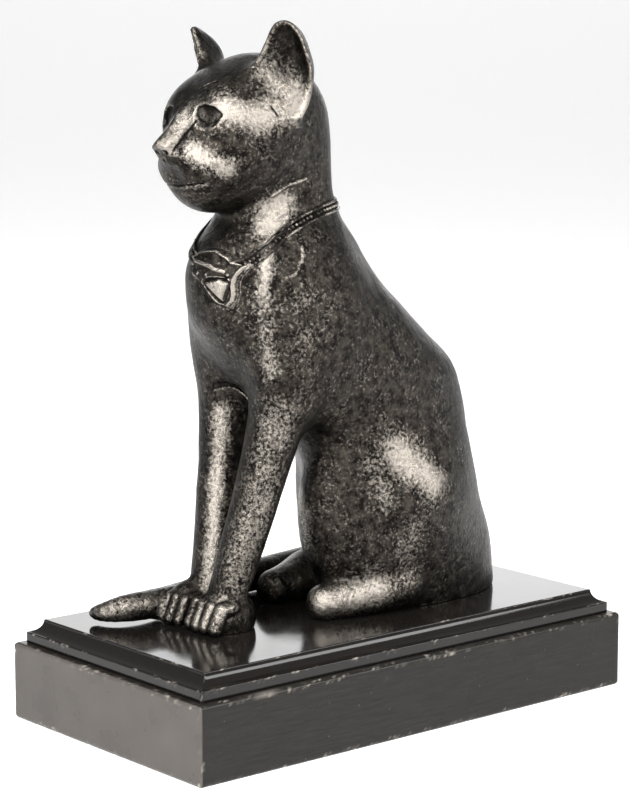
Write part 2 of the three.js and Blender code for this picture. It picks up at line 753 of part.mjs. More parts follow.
// The moulded board: an upright edge, then a cove that hollows in to the top.
const COVE_STEPS = 8;
const BOARD_HEIGHT = BOARD_SIDE + COVE_HEIGHT;
function boardLevels() {
  const cove = Array.from({ length: COVE_STEPS + 1 }, (_, i) => {
    const angle = (i / COVE_STEPS) * (Math.PI / 2);
    return [BOARD_SIDE + COVE_HEIGHT * (1 - Math.cos(angle)), COVE_WIDTH * Math.sin(angle)];
  });
  return [[0, 0], ...cove];
}

function piece(name, geometry, material, z) {
  const mesh = new THREE.Mesh(geometry, material);
  mesh.name = name;
  mesh.position.z = z;
  return mesh;
}

const boardWidth = BLOCK_WIDTH - 2 * BOARD_SETBACK;
const boardLength = BLOCK_LENGTH - 2 * BOARD_SETBACK;
const figure = new THREE.Group();
figure.add(
  piece('plinth_block', stackedGeometry(BLOCK_WIDTH, BLOCK_LENGTH, blockLevels()), EBONISED, 0),
  piece('plinth_board', stackedGeometry(boardWidth, boardLength, boardLevels()), POLISHED, BLOCK_HEIGHT),
  piece('cat_figure', catGeometry(), BRONZE, BLOCK_HEIGHT + BOARD_HEIGHT),
);

export default figure;
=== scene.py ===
import math

import bpy
import numpy as np
from bpy.props import FloatProperty, FloatVectorProperty, IntProperty, PointerProperty
from bpy.types import NodeSocket, Operator, Panel, PropertyGroup
from mathutils import Euler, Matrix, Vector, noise


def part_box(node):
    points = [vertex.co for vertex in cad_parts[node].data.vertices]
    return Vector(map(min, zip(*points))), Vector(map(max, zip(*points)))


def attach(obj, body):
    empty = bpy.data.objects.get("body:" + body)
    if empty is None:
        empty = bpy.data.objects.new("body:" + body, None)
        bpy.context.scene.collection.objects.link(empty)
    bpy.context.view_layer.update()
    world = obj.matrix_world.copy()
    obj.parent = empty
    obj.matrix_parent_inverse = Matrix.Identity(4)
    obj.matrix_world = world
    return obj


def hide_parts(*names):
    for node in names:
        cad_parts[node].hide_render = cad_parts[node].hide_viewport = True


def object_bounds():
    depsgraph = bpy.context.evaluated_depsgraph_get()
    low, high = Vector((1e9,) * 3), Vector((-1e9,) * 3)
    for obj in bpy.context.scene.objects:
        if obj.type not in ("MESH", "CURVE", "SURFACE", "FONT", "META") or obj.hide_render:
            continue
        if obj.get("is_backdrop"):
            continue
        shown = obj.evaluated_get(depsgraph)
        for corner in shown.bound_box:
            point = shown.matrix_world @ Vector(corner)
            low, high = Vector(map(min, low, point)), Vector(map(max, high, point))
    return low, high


bl_info = {
    "name": "Seated Bronze Cat",
    "version": (1, 0, 0),
    "blender": (4, 5, 0),
    "location": "View3D > Sidebar > Bronze Cat",
    "description": "Builds the skin, collar, pendant and plinth of a seated bronze cat",
    "category": "Add Mesh",
}

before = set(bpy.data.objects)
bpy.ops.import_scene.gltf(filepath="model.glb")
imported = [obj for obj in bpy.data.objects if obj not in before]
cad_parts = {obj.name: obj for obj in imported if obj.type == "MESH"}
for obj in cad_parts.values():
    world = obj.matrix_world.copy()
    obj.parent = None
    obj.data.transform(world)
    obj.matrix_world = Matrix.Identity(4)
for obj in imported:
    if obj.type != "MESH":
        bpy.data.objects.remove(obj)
CAD_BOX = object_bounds()
MM = 0.001
CAT_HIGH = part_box("cat_figure")[1]
BOARD_LOW, BOARD_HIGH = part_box("plinth_board")
BLOCK_LOW, BLOCK_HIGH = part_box("plinth_block")

# The figure is laid out in canon units, of which it stands CANON high above the plinth.
CANON = 320
UNIT = (CAT_HIGH.z - BOARD_HIGH.z) / CANON


def in_metres(points):
    """Canon places as places in the frame."""
    return np.asarray(points, float) * UNIT + np.array([0, 0, BOARD_HIGH.z])


# Joins of distance fields. Each form is a function of x, y and z that is negative inside.
def soften(a, b, blend):
    """Joins two distances, with a fillet about as wide as the blend."""
    h = np.maximum(blend - np.abs(a - b), 0) / blend
    return np.minimum(a, b) - h * h * blend * 0.25


def fading(gap, reach):
    """1 where there is no gap, and nearly 0 at twice the reach."""
    return np.exp(-((gap / reach) ** 2))


def along(way, u, v, w):
    """How far a step goes along a direction."""
    return u * way[0] + v * way[1] + w * way[2]


def join(blend, *forms):
    def joined(x, y, z):
        total = forms[0](x, y, z)
        for form in forms[1:]:
            total = soften(total, form(x, y, z), blend)
        return total

    return joined


def carve(blend, body, tool):
    return lambda x, y, z: -soften(-body(x, y, z), tool(x, y, z), blend)


def mirrored(form, rounding=0):
    """A form and its mirror image. The rounding keeps a crease from showing where they meet."""
    return lambda x, y, z: form(np.sqrt(x**2 + rounding**2), y, z)


def close_by(form, low, high, reach=14.0):
    """Works a small form out only near its own box, and keeps it well away elsewhere."""

    def nearby(x, y, z):
        gaps = [np.maximum(np.maximum(lo - v, v - hi), 0) for v, lo, hi in zip((x, y, z), low, high)]
        away = np.sqrt(gaps[0] ** 2 + gaps[1] ** 2 + gaps[2] ** 2)
        out = (away + reach).astype(np.float32)
        inside = away < reach
        if inside.any():
            out[inside] = form(x[inside], y[inside], z[inside])
        return out

    return nearby


def rotation(turn):
    """A turn in degrees about X, then Y, then Z, as a matrix."""
    return np.array(Euler([math.radians(angle) for angle in turn], "XYZ").to_matrix(), np.float32)


def ellipsoid(centre, radii, turn=(0, 0, 0)):
    m = rotation(turn)
    rx, ry, rz = radii

    def form(x, y, z):
        u, v, w = x - centre[0], y - centre[1], z - centre[2]
        p, q, r = [along(m[:, i], u, v, w) for i in range(3)]
        k0 = np.sqrt((p / rx) ** 2 + (q / ry) ** 2 + (r / rz) ** 2) + 1e-6
        k1 = np.sqrt((p / rx**2) ** 2 + (q / ry**2) ** 2 + (r / rz**2) ** 2) + 1e-9
        return k0 * (k0 - 1) / k1

    return form


def run_through(knots):
    """A smooth run of values through knots, each a list that starts with its place along the run."""
    places = np.array([knot[0] for knot in knots], np.float32)
    values = np.array([knot[1:] for knot in knots], np.float32)
    steps = np.diff(values, axis=0) / np.diff(places)[:, None]
    slopes = np.concatenate([steps[:1], (steps[:-1] + steps[1:]) / 2, steps[-1:]])

    def at(place):
        t = np.clip(place, places[0], places[-1])
        i = np.clip(np.searchsorted(places, t, side="right") - 1, 0, len(places) - 2)
        span = (places[i + 1] - places[i])[:, None]
        u = (t - places[i])[:, None] / span
        ends = (2 * u**3 - 3 * u**2 + 1) * values[i] + (3 * u**2 - 2 * u**3) * values[i + 1]
        bends = (u**3 - 2 * u**2 + u) * slopes[i] + (u**3 - u**2) * slopes[i + 1]
        return (ends + span * bends).T

    return at


def column(knots, power, cap):
    """Level sections. Each knot is height, middle in x, front y, back y and half width."""
    section = run_through(knots)
    bottom, top = knots[0][0], knots[-1][0]

    def form(x, y, z):
        middle, front, back, half = section(z)
        middle_up, front_up, back_up, half_up = section(z + 1)
        depth = (back - front) / 2
        u, v = x - middle, y - (front + back) / 2
        k0 = (np.abs(u / half) ** power + np.abs(v / depth) ** power) ** (1 / power) + 1e-6
        k2 = np.sqrt((u / half) ** 2 + (v / depth) ** 2) + 1e-6
        k1 = np.sqrt((u / half**2) ** 2 + (v / depth**2) ** 2) + 1e-9
        nx, ny = u / half**2 / k1, v / depth**2 / k1
        edge = np.where(v < 0, front_up - front, back_up - back) * ny
        lean = nx * (middle_up - middle) + np.abs(nx) * (half_up - half) + edge
        side = (k0 - 1) * k2 / k1 / np.sqrt(1 + lean**2)
        return -soften(-side, -np.maximum(z - top, bottom - z), cap)

    return form


def limb(points, cuts=1):
    """A round limb along a smooth line. Each point is x, y, z and radius."""
    line = run_through([(i, *point) for i, point in enumerate(points)])
    rings = line(np.linspace(0, len(points) - 1, (len(points) - 1) * cuts + 1)).T

    def form(x, y, z):
        nearest = np.full(x.shape, 1e3, np.float32)
        for a, b in zip(rings[:-1], rings[1:]):
            dx, dy, dz, widen = b - a
            u, v, w = x - a[0], y - a[1], z - a[2]
            t = np.clip((u * dx + v * dy + w * dz) / (dx * dx + dy * dy + dz * dz), 0, 1)
            gap = np.sqrt((u - t * dx) ** 2 + (v - t * dy) ** 2 + (w - t * dz) ** 2)
            nearest = np.minimum(nearest, gap - a[3] - t * widen)
        return nearest

    return form


def segment_gap(start, end, u, v):
    """The squared distance in a plane to the line between two places."""
    du, dv = end[0] - start[0], end[1] - start[1]
    p, q = u - start[0], v - start[1]
    t = np.clip((p * du + q * dv) / (du * du + dv * dv), 0, 1)
    return (p - t * du) ** 2 + (q - t * dv) ** 2


def outline(corners):
    """The distance in a plane to a closed many-sided outline, negative inside."""

    def form(u, v):
        nearest = np.full(u.shape, 1e6, np.float32)
        inside = np.zeros(u.shape, bool)
        for (au, av), (bu, bv) in zip(corners, corners[1:] + corners[:1]):
            nearest = np.minimum(nearest, segment_gap((au, av), (bu, bv), u, v))
            if av != bv:
                inside ^= ((av > v) != (bv > v)) & (u < (bu - au) * (v - av) / (bv - av) + au)
        return np.where(inside, -1, 1) * np.sqrt(nearest)

    return form


def line_gap(knots, u, v):
    """The distance in a plane to an open line through knots."""
    return np.sqrt(np.min([segment_gap(start, end, u, v) for start, end in zip(knots, knots[1:])], 0))


# The cat's trunk and forelegs, as level sections in canon units above the plinth: height, middle in x,
# front y, back y and half width. The tail is a line of x, y, z and radius.
TRUNK = [
    (-6, 0, 6, 117, 40),
    (30, 0, 2, 111.5, 42.5),
    (60, 0, -3, 100, 42),
    (80, 0, -8, 94.3, 42),
    (92, 0, -20, 93, 42.5),
    (112, 0, -46, 90.6, 43.5),
    (132, 0, -62, 82, 44.5),
    (150, 0, -75, 62, 44),
    (165, 0, -83.5, 46, 42),
    (180, 0, -86, 30, 39),
    (192, 0, -85.5, 20.5, 36),
    (204, 0, -80, 13, 32.5),
    (216, 0, -69, 3.5, 29.5),
    (230, 0, -60, -3, 28),
    (246, 0, -56, -5, 27),
    (262, 0, -56, -9, 25),
]
LEFT_FORELEG = [
    (-4, 8, -87, -66, 12),
    (15, 8, -84.5, -65, 11.8),
    (31, 9.5, -81, -59, 11.8),
    (52, 12, -76, -51.5, 12.2),
    (79, 15.5, -70, -43.5, 13),
    (106, 19, -65.5, -34, 14.5),
    (125, 21.5, -64, -25, 16.5),
    (150, 24, -64, -12, 17),
    (176, 24, -62, -12, 14),
]
RIGHT_FORELEG = [
    (-4, -14.5, -80, -56, 11.5),
    (20, -15.5, -77.5, -54.5, 11.5),
    (42, -17, -74, -49.5, 12),
    (63, -19, -70.5, -45, 12.5),
    (84, -21, -67, -39, 13.2),
    (100, -23, -65, -33, 14),
    (125, -24.5, -63.5, -23, 16.5),
    (150, -25, -64, -12, 17),
    (176, -25, -62, -12, 14),
]
TAIL = [
    (-14, 104, 20, 14),
    (-34, 95, 17, 13),
    (-47, 76, 13, 11),
    (-52, 50, 10.5, 10),
    (-51, 20, 9.8, 9.3),
    (-48, -10, 9.5, 9),
    (-43, -38, 9.2, 8.6),
    (-37, -64, 8.9, 8.1),
    (-33, -85, 8.9, 8),
    (-31, -101, 9.1, 7.9),
    (-33.5, -112, 8.8, 7.3),
    (-39, -118.5, 7.2, 5.8),
    (-45.5, -120.5, 5.6, 4.2),
    (-49, -120.5, 5, 2.8),
]
# A soft ridge down the left side of the breast, by x, y, z and radius, and the recess that arches over
# the forelegs, by x and z.
BREAST_RIDGE = [(23.5, -59, 203, 4.2), (26, -61.8, 192, 4.5), (27.2, -64.3, 180, 4.6), (29, -61, 148, 4.5)]
LEG_ARCH = [(-16, 126.6), (-9, 128.3), (-3, 127), (2, 122), (4, 113)]


def arch_form(body):
    """A groove that arches over the tops of the forelegs, and deepens toward the near one."""

    def form(x, y, z):
        deep = 0.6 + 1.8 * np.clip((x + 15) / 12, 0, 1)
        groove = np.maximum(line_gap(LEG_ARCH, x, z) - 1.3, -deep - body(x, y, z))
        return np.maximum(groove, y + 48)

    return close_by(form, (-24, -75, 102), (22, -48, 133), 6)


def haunches_form():
    near = ellipsoid((17.5, 27.5, 56), (31, 55.5, 62))
    thigh = ellipsoid((29.5, 36, 62), (21, 32, 31))
    far = ellipsoid((-24, 58, 56), (24.5, 49, 60), (0, 0, -3))
    return join(8, join(12, near, thigh), far)


def paw_form(middle, front, width):
    """A forepaw: a rounded mass, and on its front four long toes set close together."""
    toes, thick = [], 0.14 * width
    for i in (-1.5, -0.5, 0.5, 1.5):
        x, tip = middle + i * width / 4, front + thick + 0.9 * abs(i)
        toes.append(limb([(x, tip + 12, 14, thick), (x, tip + 4.5, 13.5, thick), (x, tip, 4, thick)]))
    mass = ellipsoid((middle, front + 21, 6), (width / 2, 17, 16.5))
    paw = join(0.8, mass, join(0.3, *toes))
    return close_by(paw, (middle - 20, front - 4, -6), (middle + 20, front + 38, 26))


def standing_form():
    forelegs = join(2, column(LEFT_FORELEG, 2.2, 10), column(RIGHT_FORELEG, 2.2, 10))
    shoulders = mirrored(ellipsoid((25, -34, 158), (19, 32, 48), (-10, 0, 0)))
    body = join(14, join(16, column(TRUNK, 2.15, 10), haunches_form()), shoulders)
    paws = join(1.2, paw_form(8.5, -96, 27.5), paw_form(-19.5, -97, 24.5))
    left_foot = limb([(31, 26, 14, 16), (29.5, 6, 11.5, 14), (27, -10, 9.5, 12), (25, -20, 8.5, 10.5)])
    right_foot = limb([(-30, 30, 13, 15), (-25, 8, 11, 14), (-21, -8, 9, 12), (-19.5, -19, 8.5, 10.5)])
    knob = ellipsoid((-13.5, -17, 12), (3.2, 3.2, 3))
    feet = join(4, left_foot, join(1.5, right_foot, knob))
    breast = join(4, join(8, body, forelegs), limb(BREAST_RIDGE, 2))
    return join(3, join(3, carve(0.8, breast, arch_form(breast)), paws), feet, limb(TAIL, 2))


def head_mass_form():
    """Skull, cheeks, brows, muzzle and chin, before the nose and the eyes."""
    skull = ellipsoid((0, -46.6, 266), (32.3, 43, 37.5))
    brows = mirrored(ellipsoid((13.5, -68, 271), (17.5, 22, 18)), 7)
    cheeks = mirrored(ellipsoid((13.5, -66, 248), (15.5, 25, 19)), 7)
    temples = mirrored(ellipsoid((13.5, -59, 265), (20, 30, 24)), 7)
    flanks = mirrored(limb([(6, -84, 267, 7.5), (6.5, -91.5, 258.5, 8), (6, -96, 250.5, 7.5)]), 2)
    jowls = mirrored(ellipsoid((11, -80.5, 246.5), (15.5, 18.5, 12.5), (0, 0, 12)), 4)
    muzzle = ellipsoid((0, -89, 252), (12.5, 18.5, 8.5))
    pads = mirrored(ellipsoid((8.5, -87.5, 243.5), (9.8, 12.3, 9.5)), 2)
    chin = ellipsoid((0, -74.3, 235), (16.5, 24, 14))
    face = join(4, join(6, muzzle, pads), flanks)
    return join(8, join(12, join(14, skull, cheeks), brows, temples), join(5, face, jowls), chin)


# The nose is a straight bar with a flat top: it leaves the brow and ends in a blunt, overhanging tip.
NOSE_TOP = (-86.8, 282.2)
NOSE_TIP = (-112, 257.2)
NOSE_HALF_WIDTHS = (9.8, 6.3)


def nose_form():
    run_y, run_z = NOSE_TIP[0] - NOSE_TOP[0], NOSE_TIP[1] - NOSE_TOP[1]
    run = math.hypot(run_y, run_z)
    ay, az = run_y / run, run_z / run

    def form(x, y, z):
        down = (y - NOSE_TOP[0]) * ay + (z - NOSE_TOP[1]) * az
        above = (y - NOSE_TOP[0]) * az - (z - NOSE_TOP[1]) * ay
        share = np.clip(down / run, 0, 1)
        half = NOSE_HALF_WIDTHS[0] + (NOSE_HALF_WIDTHS[1] - NOSE_HALF_WIDTHS[0]) * share
        lift = np.clip(share * 2.5, 0, 1)
        scoop = 0.8 * fading(share - 0.65, 0.2)
        roof = (0.1 + 0.5 * lift) * (np.sqrt(x**2 + 3) - 1.7)
        top = (above + scoop + roof - 1.4 * lift) * 0.88
        side = (np.abs(x) - half + 0.3 * np.minimum(above + 3, 0)) * 0.95
        section = -soften(-side, -top, 0.7)
        ends = np.maximum(down - run, -6 - down)
        return -soften(-np.maximum(section, -9 - above), -ends, 2.6)

    return form


# Ears: a funnel on the side of the skull, open to the front and outside. Each line of the outline
# is a height, the reach to the inner and the outer edge, and how deep the hollow goes.
EAR_ROOT = np.array([30, -50, 282.3])
EAR_UP = np.array([0.217, -0.217, 0.952]) / np.linalg.norm([0.217, -0.217, 0.952])
EAR_SIDE = np.array([0.806, 0.586, -0.05])
EAR_HEIGHT = 37.6
EAR_OUTLINE = [
    (-16, 12, 8, 0.2),
    (-6, 16, 13, 0.8),
    (4, 16.5, 15.2, 3.4),
    (12, 15.5, 15.8, 6.8),
    (20, 12.2, 14, 8),
    (28, 8.2, 11.6, 6),
    (32, 6.4, 9.6, 3.8),
    (34.8, 4.6, 7.4, 2),
    (36.6, 2.8, 5, 1.2),
    (37.6, 0.6, 2, 1),
]


def ear_form():
    facing = np.cross(EAR_SIDE, EAR_UP)
    facing /= np.linalg.norm(facing)
    sideways = np.cross(EAR_UP, facing)
    edges = run_through(EAR_OUTLINE)

    def form(x, y, z):
        offset = x - EAR_ROOT[0], y - EAR_ROOT[1], z - EAR_ROOT[2]
        across, up, open_ = [along(way, *offset) for way in (sideways, EAR_UP, facing)]
        inner, outer, deep = edges(up)
        half, middle = (inner + outer) / 2, (outer - inner) / 2
        side = np.abs(across - middle)
        reach = side / half
        skew = 1 + 0.7 * (across - middle) / half
        rise = np.clip(up / EAR_HEIGHT, 0, 1)
        cup = deep * (np.minimum(reach**2, 1.4) - 1) * np.clip(skew, 0.2, 2) - 1.5 * rise
        cup += 0.022 * np.clip(8 - up, 0, 18) ** 2
        lean = np.sqrt(1 + (2 * deep * reach * skew / np.maximum(half, 4)) ** 2)
        wall = np.abs(open_ - cup) / lean - 2.1 - 1.3 * (1 - rise)
        edge = np.maximum(np.maximum(side - half, up - EAR_HEIGHT), -16 - up)
        return -soften(-edge, -wall, 3)

    return close_by(form, (6, -78, 262), (62, -16, 325))


# Eyes: empty sockets with a flat floor, where inlays have been lost. The outline lies in a plane
# that faces forward and outward, and its lower edge is bevelled.
EYE = (17.6, -91, 272.7)
EYE_ACROSS = (0.905, 0.425, 0)
EYE_OUT = (0.408, -0.869, 0.196)
EYE_UP = (-0.083, 0.177, 0.96)
EYE_OUTLINE = [
    (-6, 3), (-2.6, 3.7), (2.9, 2.4), (7, -0.9), (3.8, -2.8), (-0.6, -3.7), (-4, -1.8), (-5.8, 0.6),
]
EYE_FLOOR = -2.2


def eye_form():
    shape = outline(EYE_OUTLINE)

    def form(x, y, z):
        offset = x - EYE[0], y - EYE[1], z - EYE[2]
        u, v, w = [along(way, *offset) for way in (EYE_ACROSS, EYE_UP, EYE_OUT)]
        bevel = np.clip(0.4 - (v + 0.6 * u) * 0.2, 0, 1.3) * (w - EYE_FLOOR)
        return -soften(0.8 * (1.2 + bevel - shape(u, v)), w - EYE_FLOOR, 0.5)

    return close_by(form, (4, -102, 262), (28, -80, 281), 6)


def mouth_form(body):
    """A shallow groove round the muzzle, a little higher at its corners."""

    def form(x, y, z):
        middle = 236.6 + 0.0035 * x**2
        groove = np.maximum(np.abs(z - middle) * 0.95 - 0.22, -1.1 - body(x, y, z))
        return np.maximum(np.maximum(groove, np.abs(x) - 17.3), y + 80)

    return close_by(form, (-21, -110, 232), (21, -78, 241), 6)


HEAD_TILT = math.radians(3.2)
TILT_HEIGHT = 245


def tilt(x, z):
    """The place in the upright head of a place in the leaning one."""
    cos, sin = math.cos(HEAD_TILT), math.sin(HEAD_TILT)
    rise = z - TILT_HEIGHT
    return cos * x + sin * rise, TILT_HEIGHT - sin * x + cos * rise


# Fine cracks in the skin, the creases where the nose's sides meet the cheeks, in the upright head, and
# seams that stand a little proud where the mould had cracked.
CRACKS = {
    "temple": [(33, -63.4, 277.3), (34.8, -59.5, 271.7)],
    "brow": [(4, -87, 285.6), (12, -81.5, 289.8)],
}
CREASES = {
    "nose": [
        (11.4, -93.8, 269.4), (10, -96.4, 266.2), (8.5, -99.3, 262.3), (7.8, -103.2, 257.9),
        (7.3, -106, 254.6),
    ],
}
SEAMS = {
    "jaw": [(29, -63.5, 234.7), (22.3, -54.5, 229.7), (26.8, -47, 235.3), (27.8, -36, 238.4)],
    "shoulder": [(34.4, -43.8, 203.9), (36.6, -45.1, 198.4), (37.8, -51.6, 190.1), (36.4, -55.8, 188.8)],
}


def lines_form(lines, radius):
    """Thin round rods along named lines."""
    forms = []
    for line in lines.values():
        low, high = np.min(line, 0) - 3, np.max(line, 0) + 3
        forms.append(close_by(limb([(*place, radius) for place in line]), low, high, 4))
    return join(0.3, *forms)


def head_form():
    body = join(1.2, head_mass_form(), nose_form())
    nostril = close_by(ellipsoid((3.6, -109, 253.8), (1.6, 2.4, 1.3)), (0, -113, 250), (8, -105, 258), 4)
    philtrum = limb([(0, -107.5, 250, 0.9), (0, -104.5, 243, 0.8), (0, -100, 236, 0.8)])
    philtrum = close_by(philtrum, (-3, -110, 234), (3, -96, 252), 4)
    eyes, nostrils, creases = [mirrored(form) for form in (eye_form(), nostril, lines_form(CREASES, 0.55))]
    cuts = join(0.4, eyes, mouth_form(body), nostrils, philtrum, creases)
    ears = mirrored(join(9, ear_form(), ellipsoid((23.5, -54, 284), (10.5, 14, 12))))
    upright = join(6, carve(0.7, body, cuts), ears)

    def form(x, y, z):
        tilted_x, tilted_z = tilt(x, z)
        return upright(tilted_x, y, tilted_z)

    return close_by(form, (-56, -116, 216), (62, 2, 326), 20)


def cat_form():
    skin = join(1, join(9, standing_form(), head_form()), lines_form(SEAMS, 0.4))
    whole = carve(0.3, skin, lines_form(CRACKS, 0.6))
    return lambda x, y, z: np.maximum(whole(x, y, z), -z)


# The skin is the surface where a field crosses zero, drawn as one point in each cell that it crosses.
# The field is sampled in cubes of CUBE samples each way, BATCH cubes at a time.
CUBE = 4
BATCH = 6000


def grid_line(low, high, fine_low, fine_high, coarse, fine):
    """Places of the samples along one axis, closer together along the fine stretch."""
    places = [low]
    while places[-1] < high or len(places) % CUBE:
        places.append(places[-1] + (fine if fine_low <= places[-1] < fine_high else coarse))
    return np.array(places, np.float32)


def sampled(field, lines):
    """The field on a grid, worked out closely only in the cubes of samples that lie near the skin."""
    middles = [line.reshape(-1, CUBE).mean(1) for line in lines]
    widest = max(np.diff(line).max() for line in lines)
    grids = np.meshgrid(*middles, indexing="ij")
    coarse = field(*[grid.ravel() for grid in grids]).reshape(grids[0].shape)
    values = coarse.repeat(CUBE, 0).repeat(CUBE, 1).repeat(CUBE, 2).astype(np.float32)
    near = np.argwhere(np.abs(coarse) < widest * CUBE * 1.5)
    inner = np.stack(np.meshgrid(*[np.arange(CUBE)] * 3, indexing="ij"), -1).reshape(-1, 3)
    for start in range(0, len(near), BATCH):
        nodes = (near[start : start + BATCH, None] * CUBE + inner).reshape(-1, 3)
        values[tuple(nodes.T)] = field(*[line[nodes[:, i]] for i, line in enumerate(lines)])
    return values


def draw_skin(field, lines):
    """Points and four-sided faces of the skin, with the faces looking out."""
    values = sampled(field, lines)
    inside = values < 0
    shape = values.shape
    cells = tuple(n - 1 for n in shape)
    count = np.zeros(cells, np.int8)
    for corner in np.ndindex(2, 2, 2):
        count += inside[tuple(slice(c, c + n) for c, n in zip(corner, cells))]
    crossed = np.argwhere((count > 0) & (count < 8))
    number = np.full(cells, -1, np.int32)
    number[tuple(crossed.T)] = np.arange(len(crossed))
    total = np.zeros((len(crossed), 3))
    found = np.zeros(len(crossed))
    step = np.eye(3, dtype=int)
    for axis in range(3):
        first, second = [i for i in range(3) if i != axis]
        for a, b in np.ndindex(2, 2):
            start = crossed + a * step[first] + b * step[second]
            end = start + step[axis]
            d0, d1 = values[tuple(start.T)], values[tuple(end.T)]
            cut = (d0 < 0) != (d1 < 0)
            point = start.astype(float)
            point[:, axis] += np.where(cut, d0 / np.where(cut, d0 - d1, 1), 0)
            total[cut] += point[cut]
            found[cut] += 1
    spots = total / found[:, None]
    points = np.stack([np.interp(spots[:, i], np.arange(len(line)), line) for i, line in enumerate(lines)], 1)
    faces = []
    for axis in range(3):
        first, second = (axis + 1) % 3, (axis + 2) % 3
        lower, upper = [slice(None)] * 3, [slice(None)] * 3
        lower[axis], upper[axis] = slice(0, shape[axis] - 1), slice(1, shape[axis])
        start_in, end_in = inside[tuple(lower)], inside[tuple(upper)]
        at = np.argwhere(start_in != end_in)
        for side in (first, second):
            at = at[(at[:, side] > 0) & (at[:, side] < shape[side] - 1)]
        turns = ((-1, -1), (0, -1), (0, 0), (-1, 0))
        ring = np.stack([number[tuple((at + a * step[first] + b * step[second]).T)] for a, b in turns], 1)
        turned = ~start_in[tuple(at.T)]
        ring[turned] = ring[turned][:, ::-1]
        faces.append(ring)
    return points, np.concatenate(faces)


def slope(field, points, step=0.25):
    """The field at the points and its gradient there."""
    x, y, z = [points[:, i].astype(np.float32) for i in range(3)]
    here = field(x, y, z)
    rise = [field(x + dx, y + dy, z + dz) - here for dx, dy, dz in np.eye(3, dtype=np.float32) * step]
    return here, np.stack(rise, 1) / step


def settle(field, points, limit):
    """Draws the points onto the skin, each by no more than the limit."""
    here, gradient = slope(field, points)
    move = here / np.maximum((gradient**2).sum(1), 0.2)
    return points - gradient * np.clip(move, -limit, limit)[:, None]


def roundness(field, points, reach):
    """How sharply the skin bends at the points: above 0 on ridges, below 0 in hollows, in 1 / unit."""
    x, y, z = [points[:, i].astype(np.float32) for i in range(3)]
    total = -6 * field(x, y, z)
    for dx, dy, dz in np.eye(3, dtype=np.float32) * reach:
        total += field(x + dx, y + dy, z + dz) + field(x - dx, y - dy, z - dz)
    return total / reach**2


def lumps(points, size, seed=0):
    """Smooth unevenness from about -1 to 1 with lumps of about the size."""
    shift = Vector((seed * 7.3, seed * 3.1, seed * 5.7))
    return np.array([noise.noise(Vector(point) / size + shift) for point in points])


def into_scene(name, data):
    """A new object with its data, linked to the scene."""
    thing = bpy.data.objects.new(name, data)
    bpy.context.scene.collection.objects.link(thing)
    return thing


def mesh_object(name, points, faces, material):
    """A mesh piece of faces that all have as many sides, or of a plain list of faces."""
    mesh = bpy.data.meshes.new(name)
    if isinstance(faces, list):
        mesh.from_pydata(points.tolist(), [], faces)
    else:
        mesh.vertices.add(len(points))
        mesh.vertices.foreach_set("co", np.asarray(points, np.float32).ravel())
        mesh.loops.add(faces.size)
        mesh.loops.foreach_set("vertex_index", faces.astype(np.int32).ravel())
        mesh.polygons.add(len(faces))
        mesh.polygons.foreach_set("loop_start", np.arange(0, faces.size, faces.shape[1], dtype=np.int32))
        mesh.update(calc_edges=True)
    mesh.validate()
    mesh.shade_smooth()
    mesh.materials.append(material)
    return into_scene(name, mesh)


def plain_mesh(piece):
    """Turns what a piece's modifiers give into its own plain mesh."""
    made = bpy.data.meshes.new_from_object(piece.evaluated_get(bpy.context.evaluated_depsgraph_get()))
    piece.modifiers.clear()
    piece.data = made
    return piece


def places_of(piece):
    spots = np.empty(len(piece.data.vertices) * 3, np.float32)
    piece.data.vertices.foreach_get("co", spots)
    return spots.reshape(-1, 3).astype(float)


def place_points(piece, points):
    """Puts a piece's points at canon places."""
    piece.data.vertices.foreach_set("co", in_metres(points).astype(np.float32).ravel())
    piece.data.update()


def mark(piece, name, values):
    """Stores one number at each point of a piece, for its material."""
    layer = piece.data.attributes.new(name, "FLOAT", "POINT")
    layer.data.foreach_set("value", np.asarray(values, np.float32))


def keep(piece, slot, *nodes):
    """Hands a finished piece over: it rides on the one body and stands for the nodes, which it hides. The
    slot is not used.
    """
    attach(piece, "root")
    if nodes:
        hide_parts(*nodes)


# Colours and materials.
def linear(hex_colour):
    """An sRGB hex colour as linear red, green, blue and alpha."""
    parts = [int(hex_colour[i : i + 2], 16) / 255 for i in (1, 3, 5)]
    return [c / 12.92 if c <= 0.04045 else ((c + 0.055) / 1.055) ** 2.4 for c in parts] + [1.0]


def wire(tree, node, settings=None, **links):
    """Sets up a node. A setting fills the input of its name or number, or else sets the node itself.

    A link joins an output, or the first output that a node has in use, to the input of its name, or of
    its number after an underscore.
    """
    for name, value in (settings or {}).items():
        if isinstance(name, int) or name in node.inputs:
            node.inputs[name].default_value = value
        else:
            setattr(node, name, value)
    for name, source in links.items():
        if not isinstance(source, NodeSocket):
            source = next(output for output in source.outputs if output.enabled)
        spot = int(name[1:]) if name[0] == "_" else name.replace("_", " ")
        tree.links.new(source, node.inputs[spot])
    return node


def add(tree, kind, settings=None, **links):
    """Adds a node with its settings and links, a shader node where its kind doesn't say otherwise."""
    return wire(tree, tree.nodes.new(kind if "Node" in kind else f"ShaderNode{kind}"), settings, **links)


def shades(*colours):
    """Settings of a Mix node from one colour to another, or from a linked colour to a given one."""
    return {"data_type": "RGBA"} | dict(zip(range(8 - len(colours), 8), map(linear, colours)))


def per_mm(size):
    """The Scale of a noise whose lumps are about this many millimetres across."""
    return 1 / (size * MM)


def new_material(name):
    material = bpy.data.materials.new(name)
    material.use_nodes = True
    tree = material.node_tree
    place = add(tree, "TexCoord").outputs["Object"]
    return material, tree, tree.nodes["Principled BSDF"], place


def marked(tree, name):
    """The numbers that were stored at a piece's points under a name."""
    return add(tree, "Attribute", {"attribute_name": name}).outputs["Fac"]


